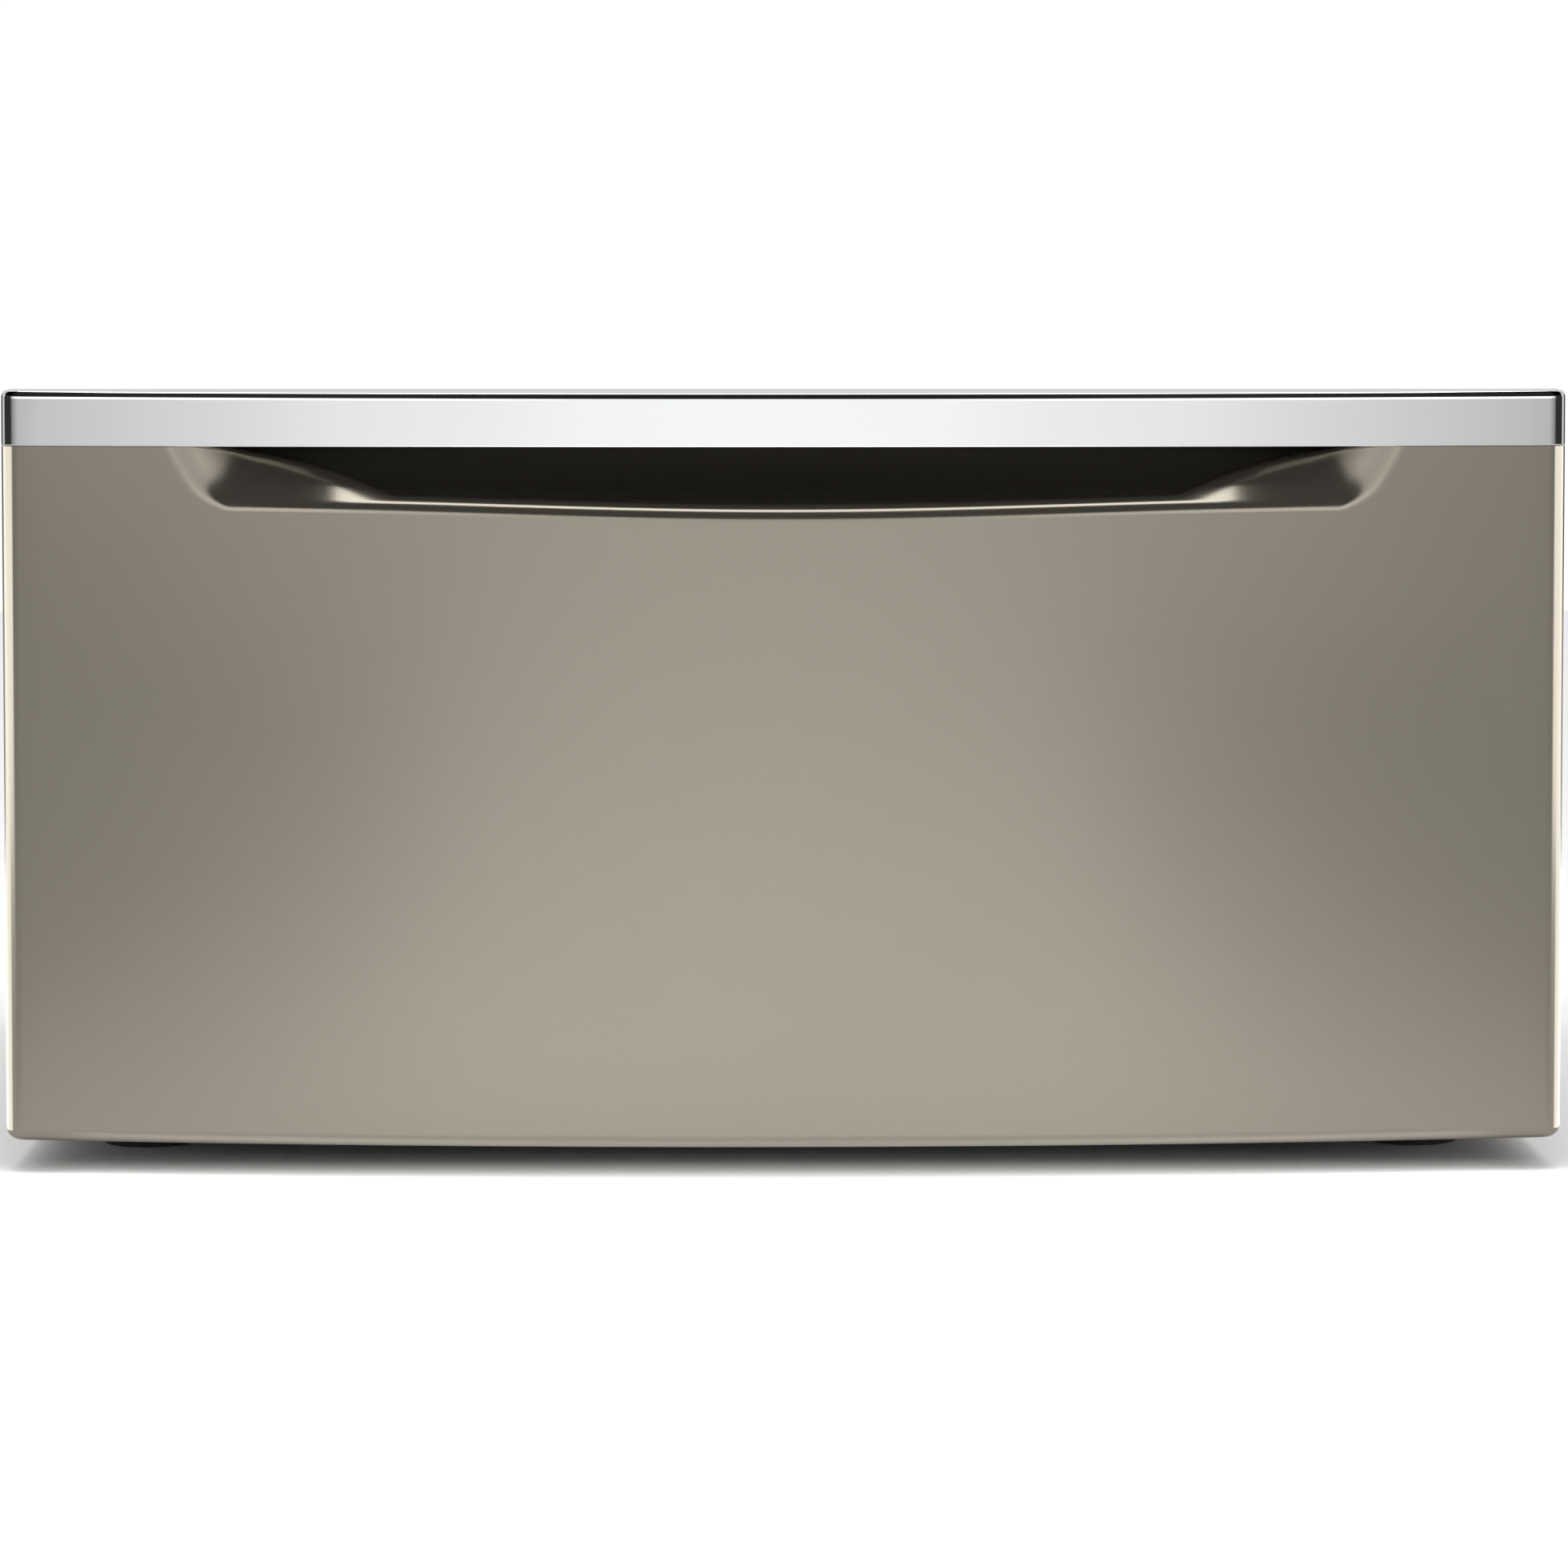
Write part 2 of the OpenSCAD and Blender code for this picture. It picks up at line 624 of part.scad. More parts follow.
module top_deck() color([0.62, 0.59, 0.53]) {
    difference() {
        union() {
            span([-cab_hw, cab_front, wrap_top], [cab_hw, cab_rear, z_deck]);
            span([-cab_hw, cab_front, z_deck - 20], [cab_hw, cab_front + deck_t, z_deck]);
            span([-cab_hw, cab_rear - deck_t, z_deck - 24], [cab_hw, cab_rear, z_deck]);
            for (k = [-2:2]) {
                x = k * bead_pitch;
                stadium(x - bead_w / 2 - deck_t, x + bead_w / 2 + deck_t, bead_y0 - deck_t, bead_y1 + deck_t,
                        wrap_top - bead_depth, z_deck - EPS);
            }
        }
        for (k = [-2:2]) {
            x = k * bead_pitch;
            stadium(x - bead_w / 2, x + bead_w / 2, bead_y0, bead_y1, z_deck - bead_depth, z_deck + 1);
        }
        for (p = bolt_pos) translate([p[0], p[1], wrap_top - 1]) cylinder(h = 4, d = bolt_hole_d);
        for (p = rear_top) rod_y(p[0], p[1], cab_rear - 3, cab_rear + 1, screw_hole_r);
    }
}

module deck_corner_plates() color([0.72, 0.73, 0.74]) {
    for (p = bolt_pos) difference() {
        span([p[0] - plate_s / 2, p[1] - plate_s / 2, wrap_top - plate_t],
             [p[0] + plate_s / 2, p[1] + plate_s / 2, wrap_top]);
        translate([p[0], p[1], wrap_top - plate_t - 1]) cylinder(h = plate_t + 2, d = bolt_hole_d);
    }
}

module deck_crossbars() color([0.72, 0.73, 0.74]) {
    z1 = wrap_top - bead_depth - seam;
    for (y = [-60, 120]) {
        span([-rail_hw, y - 20, z1 - sheet], [rail_hw, y + 20, z1]);
        for (k = [-1, 1])
            span([-rail_hw, min(y + k * 20, y + k * (20 - sheet)), z1 - 20],
                 [rail_hw, max(y + k * 20, y + k * (20 - sheet)), z1]);
    }
}

// A channel across the cabinet with its web at y0, opening along dir.
module cross_rail(y0, dir, z0, z1) {
    web = [y0, y0 + dir * sheet];
    lip = [y0, y0 + dir * rail_d];
    span([-rail_hw, min(web), z0], [rail_hw, max(web), z1]);
    span([-rail_hw, min(lip), z0], [rail_hw, max(lip), z0 + sheet]);
    span([-rail_hw, min(lip), z1 - sheet], [rail_hw, max(lip), z1]);
}

module front_top_rail() color([0.72, 0.73, 0.74]) cross_rail(rail_y0, 1, top_rail_z, wrap_top - sheet - seam);
module front_bottom_rail() color([0.72, 0.73, 0.74]) cross_rail(rail_y0, 1, rail_z0, rail_top);

module rear_bottom_rail() color([0.72, 0.73, 0.74]) {
    difference() {
        cross_rail(rail_y1, -1, rail_z0, rail_top);
        for (p = rear_low) rod_y(p[0], p[1], rail_y1 - 3, rail_y1 + 1, screw_hole_r);
    }
}

module rear_panel() color([0.72, 0.73, 0.74]) {
    y0 = wrap_y1;
    y1 = wrap_y1 + sheet;
    difference() {
        union() {
            span([-cab_hw, y0, floor_gap], [cab_hw, y1, wrap_top - seam]);
            for (z = rear_beads) translate([0, y1, z]) rotate([-90, 0, 0])
                stadium(-250, 250, -12, 12, -EPS, 2);
        }
        for (z = rear_beads) translate([0, y0 - 1, z]) rotate([-90, 0, 0])
            stadium(-250 + sheet, 250 - sheet, -12 + sheet, 12 - sheet, 0, 3);
        for (p = concat(rear_low, rear_side, rear_top)) rod_y(p[0], p[1], y0 - 1, y1 + 3, screw_hole_r);
    }
}

module rear_screws() color([0.75, 0.75, 0.72]) {
    for (p = concat(rear_low, rear_side)) hex_screw_y(p[0], p[1], wrap_y1 + sheet, -1, 8);
    for (p = rear_top) hex_screw_y(p[0], p[1], cab_rear, -1, 8);
}

module slide_support() {
    z0 = slide_z - support_h / 2;
    z1 = slide_z + support_h / 2;
    x0 = -rail_hw;
    x1 = -slide_x;
    y0 = rail_y0 + seam;
    y1 = rail_y1 - seam;
    difference() {
        union() {
            span([x1 - sheet, y0, z0], [x1, y1, z1]);
            span([x0, y0, z0], [x1, y1, z0 + sheet]);
            span([x0, y0, z1 - sheet], [x1, y1, z1]);
            span([x0, y0, z0], [x1, y0 + sheet, z1]);
            span([x0, y1 - sheet, z0], [x1, y1, z1]);
        }
        for (y = slide_screw_y) rod_x(y, slide_z, x1 - 3, x1 + 1, screw_hole_r);
    }
}

module left_slide_support() color([0.72, 0.73, 0.74]) side(-1) slide_support();
module right_slide_support() color([0.72, 0.73, 0.74]) side(1) slide_support();

module front_bumpers() color([0.10, 0.10, 0.10]) {
    for (p = bumper_pos) {
        rod_y(p[0], p[1], y_back + 0.3, wrap_y0, bumper_r);
        rod_y(p[0], p[1], wrap_y0 - EPS, wrap_y0 + sheet + 0.2, screw_r);
        rod_y(p[0], p[1], wrap_y0 + sheet + 0.1, wrap_y0 + sheet + 2, 3);
    }
}

// ---------------------------------------------------------------- levelling feet

// The corner bracket on the left that carries the foot at height y.
module foot_bracket(y) {
    low = [-rail_hw, y - bracket_l / 2, bracket_z];
    difference() {
        union() {
            span(low, [-foot_x + 38, y + bracket_l / 2, bracket_z + bracket_t]);
            span(low, [-rail_hw + bracket_t, y + bracket_l / 2, bracket_z + 45]);
        }
        translate([-foot_x, y, bracket_z - 1]) cylinder(h = bracket_t + 2, r = thread_r + 0.4);
    }
}

module left_front_foot_bracket() color([0.72, 0.73, 0.74]) side(-1) foot_bracket(foot_y_front);
module right_front_foot_bracket() color([0.72, 0.73, 0.74]) side(1) foot_bracket(foot_y_front);
module left_rear_foot_bracket() color([0.72, 0.73, 0.74]) side(-1) foot_bracket(foot_y_rear);
module right_rear_foot_bracket() color([0.72, 0.73, 0.74]) side(1) foot_bracket(foot_y_rear);

module hex_nut(z0, z1) {
    difference() {
        translate([0, 0, z0]) cylinder(h = z1 - z0, r = hex_r, $fn = 6);
        translate([0, 0, z0 - 1]) cylinder(h = z1 - z0 + 2, r = thread_r);
    }
}

module foot_weld_nuts() color([0.75, 0.75, 0.72]) {
    for (p = foot_pos) translate([p[0], p[1], 0])
        hex_nut(bracket_z + bracket_t, bracket_z + bracket_t + weld_nut_h);
}

module foot_lock_nuts() color([0.75, 0.75, 0.72]) {
    for (p = foot_pos) translate([p[0], p[1], 0]) hex_nut(bracket_z - seam - lock_nut_h, bracket_z - seam);
}

// A levelling foot's rubber pad, with a socket for the stem's disc.
module foot_pad(p) {
    translate([p[0], p[1], 0]) difference() {
        union() {
            cylinder(h = 4, r = pad_r);
            translate([0, 0, 4]) cylinder(h = pad_h - 4, r1 = pad_r, r2 = pad_r - 4);
        }
        translate([0, 0, 3]) cylinder(h = 2.5, r = 12.05);
        translate([0, 0, 5]) cylinder(h = 3, r = 8.05);
    }
}

// A levelling foot's threaded stem, with its wrench hexagon and the disc inside the pad.
module foot_stem(p) {
    translate([p[0], p[1], 0]) {
        translate([0, 0, 3]) cylinder(h = 2.4, r = 12);
        translate([0, 0, 5]) cylinder(h = pad_h - 5 + EPS, r = 8);
        translate([0, 0, pad_h]) cylinder(h = foot_hex_h, r = hex_r, $fn = 6);
        translate([0, 0, pad_h]) cylinder(h = stem_top - pad_h - 1, r = stem_r);
        translate([0, 0, stem_top - 1]) cylinder(h = 1, r1 = stem_r, r2 = stem_r - 1);
    }
}

module left_front_foot_pad() color([0.10, 0.10, 0.10]) foot_pad(foot_pos[0]);
module right_front_foot_pad() color([0.10, 0.10, 0.10]) foot_pad(foot_pos[1]);
module left_rear_foot_pad() color([0.10, 0.10, 0.10]) foot_pad(foot_pos[2]);
module right_rear_foot_pad() color([0.10, 0.10, 0.10]) foot_pad(foot_pos[3]);
module left_front_foot_stem() color([0.75, 0.75, 0.72]) foot_stem(foot_pos[0]);
module right_front_foot_stem() color([0.75, 0.75, 0.72]) foot_stem(foot_pos[1]);
module left_rear_foot_stem() color([0.75, 0.75, 0.72]) foot_stem(foot_pos[2]);
module right_rear_foot_stem() color([0.75, 0.75, 0.72]) foot_stem(foot_pos[3]);

// ---------------------------------------------------------------- nodes

drawer_front_panel();
chrome_handle();
drawer_front_liner();
front_stiffeners();
handle_screws();
drawer_front_wall();
drawer_left_wall();
drawer_right_wall();
drawer_rear_wall();
drawer_floor();
drawer_mat();
front_screws();
left_slide_inner();
right_slide_inner();
slide_inner_screws();
left_release_lever();
right_release_lever();
divider_panel();
divider_clips();
left_slide_middle();
right_slide_middle();
left_outer_cage();
right_outer_cage();
left_inner_cage();
right_inner_cage();
left_outer_balls();
right_outer_balls();
left_inner_balls();
right_inner_balls();
left_side_panel();
right_side_panel();
rear_panel();
top_deck();
deck_corner_plates();
deck_crossbars();
front_top_rail();
front_bottom_rail();
rear_bottom_rail();
left_front_foot_bracket();
right_front_foot_bracket();
left_rear_foot_bracket();
right_rear_foot_bracket();
foot_weld_nuts();
foot_lock_nuts();
left_slide_support();
right_slide_support();
left_slide_outer();
right_slide_outer();
slide_outer_screws();
rear_screws();
front_bumpers();
left_front_foot_pad();
right_front_foot_pad();
left_rear_foot_pad();
right_rear_foot_pad();
left_front_foot_stem();
right_front_foot_stem();
left_rear_foot_stem();
right_rear_foot_stem();
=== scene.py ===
import json
import math

import bmesh
import bpy
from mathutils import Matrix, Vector


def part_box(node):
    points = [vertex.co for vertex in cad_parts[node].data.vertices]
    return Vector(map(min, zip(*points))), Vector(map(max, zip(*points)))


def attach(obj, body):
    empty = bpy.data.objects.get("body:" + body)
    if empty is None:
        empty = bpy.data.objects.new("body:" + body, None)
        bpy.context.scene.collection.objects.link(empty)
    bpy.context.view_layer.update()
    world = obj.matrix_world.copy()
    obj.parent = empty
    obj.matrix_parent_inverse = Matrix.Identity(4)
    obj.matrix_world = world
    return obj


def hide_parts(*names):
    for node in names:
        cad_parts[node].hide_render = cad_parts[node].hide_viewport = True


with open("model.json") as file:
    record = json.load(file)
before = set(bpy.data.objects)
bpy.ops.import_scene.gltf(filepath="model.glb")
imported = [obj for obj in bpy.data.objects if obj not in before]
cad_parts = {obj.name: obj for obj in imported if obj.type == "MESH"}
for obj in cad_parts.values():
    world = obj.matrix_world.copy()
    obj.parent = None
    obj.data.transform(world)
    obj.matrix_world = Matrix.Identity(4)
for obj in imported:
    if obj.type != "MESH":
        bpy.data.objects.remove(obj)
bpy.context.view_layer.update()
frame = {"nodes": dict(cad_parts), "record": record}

# The laundry pedestal's looks. Metres, in the part's own frame: +Z up, the drawer opens towards -Y.

MM = 0.001
scene = bpy.context.scene

# ---------------------------------------------------------------- sizes taken from the frame

TRIM_LOW, TRIM_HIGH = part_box("chrome_handle")
PANEL_LOW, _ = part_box("drawer_front_panel")
HALF_W = TRIM_HIGH[0]
Y_FRONT, Y_BACK = TRIM_LOW[1], TRIM_HIGH[1]
Z_TOP, Z_TRIM, Z_LOW = TRIM_HIGH[2], TRIM_LOW[2], PANEL_LOW[2]

BOW = 32 * MM                    # the middle of the front stands this far ahead of its ends
CORNER_R = 10 * MM
BOW_TO = 326 * MM                # points along the bow run this far from the middle
BOW_R = (HALF_W ** 2 + BOW ** 2) / (2 * BOW)
BOW_CY = Y_FRONT + BOW_R
CORNER_X = HALF_W - CORNER_R
CORNER_Y = BOW_CY - math.sqrt((BOW_R - CORNER_R) ** 2 - CORNER_X ** 2)
BOW_ANGLE = math.asin(CORNER_X / (BOW_R - CORNER_R))


# ---------------------------------------------------------------- mesh helpers

def new_object(name, verts, faces, material, body, smooth_deg=35.0):
    """A mesh object from plain lists, shaded smooth up to smooth_deg, riding on a body."""
    mesh = bpy.data.meshes.new(name)
    mesh.from_pydata([tuple(v) for v in verts], [], faces)
    bm = bmesh.new()
    bm.from_mesh(mesh)
    bmesh.ops.remove_doubles(bm, verts=bm.verts, dist=2e-6)
    bmesh.ops.recalc_face_normals(bm, faces=bm.faces)
    bm.to_mesh(mesh)
    bm.free()
    obj = bpy.data.objects.new(name, mesh)
    scene.collection.objects.link(obj)
    mesh.materials.append(material)
    shade(obj, smooth_deg)
    if body:
        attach(obj, body)
    return obj


def shade(obj, degrees):
    """Smooth shading that keeps the edges over an angle sharp."""
    mesh = obj.data
    mesh.polygons.foreach_set("use_smooth", [True] * len(mesh.polygons))
    mesh.set_sharp_from_angle(angle=math.radians(degrees))


def grid_faces(rows, columns, closed=False):
    """Quads of a grid whose vertices run along each column first."""
    faces = []
    for i in range(columns if closed else columns - 1):
        j = (i + 1) % columns
        for k in range(rows - 1):
            faces.append((i * rows + k, j * rows + k, j * rows + k + 1, i * rows + k + 1))
    return faces


def thicken(obj, thickness, inside_slot=0, even=True):
    """Gives an outer surface its wall, on the inside, whose faces take the material slot inside_slot."""
    mod = obj.modifiers.new("wall", "SOLIDIFY")
    mod.thickness = thickness
    mod.offset = -1.0
    mod.use_even_offset = even
    mod.use_rim = True
    mod.material_offset = inside_slot


# ---------------------------------------------------------------- plan of the bowed front

def bow_point(x):
    """The point of the bow at x, and its outward normal in plan."""
    angle = math.asin(x / BOW_R)
    return x, BOW_CY - BOW_R * math.cos(angle), math.sin(angle), -math.cos(angle)


def front_stations(bow_xs, corner_steps=14, side_steps=3):
    """Points and normals along the plan, from the left rear corner round the front to the right one."""
    left = []
    for k in range(side_steps):
        left.append((-HALF_W, Y_BACK + (CORNER_Y - Y_BACK) * k / side_steps, -1.0, 0.0))
    sweep = math.pi / 2 - BOW_ANGLE
    for k in range(corner_steps + 1):
        a = math.pi + sweep * k / corner_steps
        nx, ny = math.cos(a), math.sin(a)
        left.append((-CORNER_X + CORNER_R * nx, CORNER_Y + CORNER_R * ny, nx, ny))
    right = [(-x, y, -nx, ny) for x, y, nx, ny in reversed(left)]
    return left + [bow_point(x) for x in bow_xs] + right


def spread(low, high, steps):
    """Evenly spaced values with both ends."""
    return [low + (high - low) * k / steps for k in range(steps + 1)]


# ---------------------------------------------------------------- painted drawer front

POCKET_HALF = 271 * MM
POCKET_H = 32.7 * MM             # from the start of the lip up to the trim, in the middle
LIP_R = 8 * MM
LIP_CLIMB = 5.6 * MM             # the lip rises by this much towards the ends of the pocket
LIP_REACH = 170 * MM
POCKET_Y = Y_FRONT + 48 * MM     # the back wall of the pocket
POCKET_BACK_R = 34 * MM
POCKET_TOP = Z_TOP - 8 * MM
END_SLOPE, END_SOFT = 0.45, 16 * MM       # the pocket's ends fall away from the face, gently at first
DISH_SLOPE, DISH_LEAN_MORE = 0.36, 0.70   # lean of the shallow dish beside the deep part, more towards it
DISH_FAR = 250 * MM              # the extra lean starts here
DISH_RIM_R = 3.0 * MM            # the dish rolls over into the deep part with this radius
DEEP_HALF = 174 * MM             # the deep part's edge leaves the lip here and climbs towards the trim
ENDS_FROM, ENDS_TO = 150 * MM, 274 * MM
DEEP_DROP, DEEP_CLIMB, DEEP_EASE = 20, 0.4583, 0.002577     # that edge, in mm below the trim
OUTLINE_LEAN, OUTLINE_ROUND = 0.56, 17    # how the pocket's outline narrows downwards and rounds at its foot
RIM_SOFT = 1.2 * MM              # the edge leaves the lip this softly
BLEND_POWER = 8.0
SKIN_T = 1.2 * MM
BOTTOM_R = 5.5 * MM
GUARD = 0.25 * MM                # flats start this far from a roll's end, to keep reflections straight
NECK_IN = 2.2 * MM
NECK_T = 1.8 * MM
NECK_TOP = Z_TOP - 4 * MM
LEDGE_GAP = 0.15 * MM


def lip_start(x):
    """Height at which the face starts to roll into the pocket."""
    climb = LIP_CLIMB * (1 - math.exp(-(x / LIP_REACH) ** 2))
    return Z_TRIM - POCKET_H + climb


def pocket_edge(z):
    """Half width of the pocket's outline at a height."""
    h = max(0.0, (Z_TRIM - z) / MM)
    return POCKET_HALF - (OUTLINE_LEAN * h + OUTLINE_ROUND * (min(h, 31.0) / 28) ** 6) * MM


def end_depth(x, z):
    """How deep the sloping end of the pocket is, however far it runs."""
    u = max(pocket_edge(z) - abs(x), 0.0)
    return END_SLOPE * (math.sqrt(u * u + END_SOFT ** 2) - END_SOFT)


def rim_height(x):
    """Height of the edge where the front of the pocket rolls over into its deep part."""
    q = (abs(x) - DEEP_HALF) / MM
    climb = Z_TRIM - (DEEP_DROP - DEEP_CLIMB * q + DEEP_EASE * q * q) * MM
    lip = lip_start(x) + LIP_R
    gap = (climb - lip) / RIM_SOFT
    return lip + RIM_SOFT * (gap + math.sqrt(gap * gap + 1)) / 2


def dish_slope(x):
    """How far the dish leans back for each unit that it climbs."""
    q = min(max((DISH_FAR - abs(x)) / (DISH_FAR - DEEP_HALF), 0.0), 1.0)
    return DISH_SLOPE + DISH_LEAN_MORE * q * q


def dish_depth(rise, height, slope):
    """Depth of the surface that rolls in at the lip, climbs straight, and rolls over into the deep part."""
    q = min(max((height - LIP_R) / (9 * MM), 0.0), 1.0)
    rim = LIP_R + (DISH_RIM_R - LIP_R) * q * q * (3 - 2 * q)
    lean = math.atan(slope)
    first, last = LIP_R * math.sin(lean), rim * (1 - math.sin(lean))
    rolled = LIP_R * (1 - math.cos(lean))
    if rise <= first:
        return LIP_R - math.sqrt(LIP_R * LIP_R - rise * rise)
    if rise <= height - last:
        return rolled + slope * (rise - first)
    over = min(rise - (height - rim), rim)
    climbed = rolled + slope * (height - last - first)
    return climbed + rim * math.cos(lean) - math.sqrt(rim * rim - over * over)


def back_depth(x, z):
    """Depth of the pocket's floor and back wall behind the face."""
    rise = POCKET_BACK_R - (z - (Z_TRIM - POCKET_H + LIP_R))
    rise = min(max(rise, 0.0), POCKET_BACK_R)
    y = POCKET_Y - POCKET_BACK_R + math.sqrt(POCKET_BACK_R ** 2 - rise ** 2)
    return y - bow_point(x)[1]


def blended(a, b):
    """The smaller of two depths, with a smooth valley where they meet."""
    if a <= 1e-7 or b <= 1e-7:
        return 0.0
    return (a ** -BLEND_POWER + b ** -BLEND_POWER) ** (-1 / BLEND_POWER)


def pocket_rows(x, in_pocket):
    """(inset, depth, height) up the front at x, from the underside to the top of the neck."""
    rows = []
    for k in range(15):
        t = math.radians(90 * k / 14)
        rows.append((BOTTOM_R * (1 - math.sin(t)), 0.0, Z_LOW + BOTTOM_R * (1 - math.cos(t))))
    lip = lip_start(x)
    for z in spread(Z_LOW + BOTTOM_R + GUARD, lip - GUARD, 14):
        rows.append((0.0, 0.0, z))
    rows.append((0.0, 0.0, lip))
    ledge = Z_TRIM - LEDGE_GAP
    height = rim_height(x) - lip
    top = min(lip + height, ledge)
    for k in range(1, 29):
        z = lip + (top - lip) * math.sin(math.radians(90 * k / 28))
        d = blended(dish_depth(z - lip, height, dish_slope(x)), end_depth(x, z)) if in_pocket else 0.0
        rows.append((0.0, d, z))
    front = d
    wall = 1.6 * max(POCKET_HALF - abs(x), 0.0)

    def deep(z):
        return max(front, blended(back_depth(x, z), wall)) if in_pocket else 0.0

    for k in range(1, 4):
        rows.append((0.0, front + (deep(top) - front) * k / 3, top))
    for k in range(1, 21):
        z = top + (ledge - top) * (1 - math.cos(math.radians(90 * k / 20)))
        rows.append((0.0, deep(z), z))
    for z in spread(ledge, POCKET_TOP, 4):
        rows.append((NECK_IN, max(deep(z) - NECK_IN, 0.0), z))
    rows.append((NECK_IN, 0.0, POCKET_TOP))
    rows.append((NECK_IN, 0.0, NECK_TOP))
    rows.append((NECK_IN + NECK_T, 0.0, NECK_TOP))
    return rows


def make_front_panel(material, inside):
    """The front's skin, whose rows of points lie closest along the pocket's ends."""
    xs = spread(0, ENDS_FROM, 15) + spread(ENDS_FROM, ENDS_TO, 124)[1:] + spread(ENDS_TO, BOW_TO, 7)[1:]
    xs = [-x for x in reversed(xs[1:])] + xs
    stations = front_stations(xs)
    verts = []
    for x, y, nx, ny in stations:
        in_bow = abs(x) < POCKET_HALF + 1 * MM
        rows = pocket_rows(x, in_bow)
        for inset, depth, z in rows:
            verts.append((x - nx * inset, y - ny * inset + depth, z))
    count = len(rows)
    faces = grid_faces(count, len(stations))
    faces.append([i * count for i in reversed(range(len(stations)))])
    obj = new_object("front_panel_skin", verts, faces, material, "drawer")
    obj.data.materials.append(inside)
    # Faces above the trim's lower edge, the pocket's roof and neck, take the near-black primer: painted shade
    # inside the pocket.
    for polygon in obj.data.polygons:
        if polygon.center.z > Z_TRIM:
            polygon.material_index = 1
    thicken(obj, SKIN_T, 1, even=False)
    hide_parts("drawer_front_panel")
    return obj


# ---------------------------------------------------------------- chrome handle trim

TRIM_ROLL_R, TRIM_ROLL_DEG = 5.2 * MM, 36.0      # the face leans back with this radius, up to this angle
TRIM_EDGE_R = 0.8 * MM           # and ends in a tighter edge
TRIM_LOW_R = 0.5 * MM
TRIM_RISE = 1.2 * MM             # the top climbs this much to its straight rear edge
TRIM_WALL = 2.0 * MM


def trim_top(y):
    """Height of the trim's top, which climbs to the rear."""
    return Z_TOP - TRIM_RISE * (Y_BACK - y) / (Y_BACK - Y_FRONT)


def trim_roll():
    """(inset, rise) over the front's top edge, from the face to the top."""
    turn = math.radians(TRIM_ROLL_DEG)
    rows = []
    for k in range(1, 13):
        t = turn * k / 12
        rows.append((TRIM_ROLL_R * (1 - math.cos(t)), TRIM_ROLL_R * math.sin(t)))
    inset, rise = rows[-1]
    for k in range(1, 9):
        t = turn + (math.pi / 2 - turn) * k / 8
        rows.append((inset + TRIM_EDGE_R * (math.cos(turn) - math.cos(t)),
                     rise + TRIM_EDGE_R * (math.sin(t) - math.sin(turn))))
    return rows


def make_chrome_handle(material, inside):
    """The trim's rolled skin, open at the back."""
    roll = trim_roll()
    xs = spread(-BOW_TO, BOW_TO, 90)
    stations = front_stations(xs, corner_steps=18)
    verts = []
    for x, y, nx, ny in stations:
        column = []
        for k in range(7):
            t = math.radians(90 * k / 6)
            column.append((TRIM_LOW_R * (1 - math.sin(t)), Z_TRIM + TRIM_LOW_R * (1 - math.cos(t))))
        face_top = trim_top(y) - roll[-1][1]
        column.append((0.0, Z_TRIM + TRIM_LOW_R + GUARD))
        for z in spread(Z_TRIM + TRIM_LOW_R + GUARD, face_top - GUARD, 6)[1:]:
            column.append((0.0, z))
        column.append((0.0, face_top))
        for inset, rise in roll:
            column.append((inset, trim_top(y - ny * inset) - roll[-1][1] + rise))
        for inset, z in column:
            verts.append((x - nx * inset, y - ny * inset, z))
    count = len(column)
    faces = grid_faces(count, len(stations))
    faces.append([i * count + count - 1 for i in range(len(stations))])
    obj = new_object("chrome_trim_skin", verts, faces, material, "drawer", 50.0)
    obj.data.materials.append(inside)
    thicken(obj, TRIM_WALL, 1)
    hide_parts("chrome_handle")
    return obj


# ---------------------------------------------------------------- small parts

def islands(node):
    """The middle and the low and high corners of each separate solid of a CAD node."""
    bm = bmesh.new()
    bm.from_mesh(frame["nodes"][node].data)
    bmesh.ops.remove_doubles(bm, verts=bm.verts, dist=2e-6)
    seen, found = set(), []
    for start in bm.verts:
        if start.index in seen:
            continue
        seen.add(start.index)
        stack, points = [start], []
        while stack:
            v = stack.pop()
            points.append(v.co.copy())
            for edge in v.link_edges:
                other = edge.other_vert(v)
                if other.index not in seen:
                    seen.add(other.index)
                    stack.append(other)
        low = Vector([min(q[k] for q in points) for k in range(3)])
        high = Vector([max(q[k] for q in points) for k in range(3)])
        found.append(((low + high) / 2, low, high))
    bm.free()
    return found


def frame_of(axis):
    """Two directions across an axis."""
    axis = Vector(axis)
    side = Vector((0, 0, 1)) if abs(axis.z) < 0.5 else Vector((1, 0, 0))
    across = axis.cross(side).normalized()
    return across, axis.cross(across).normalized(), axis


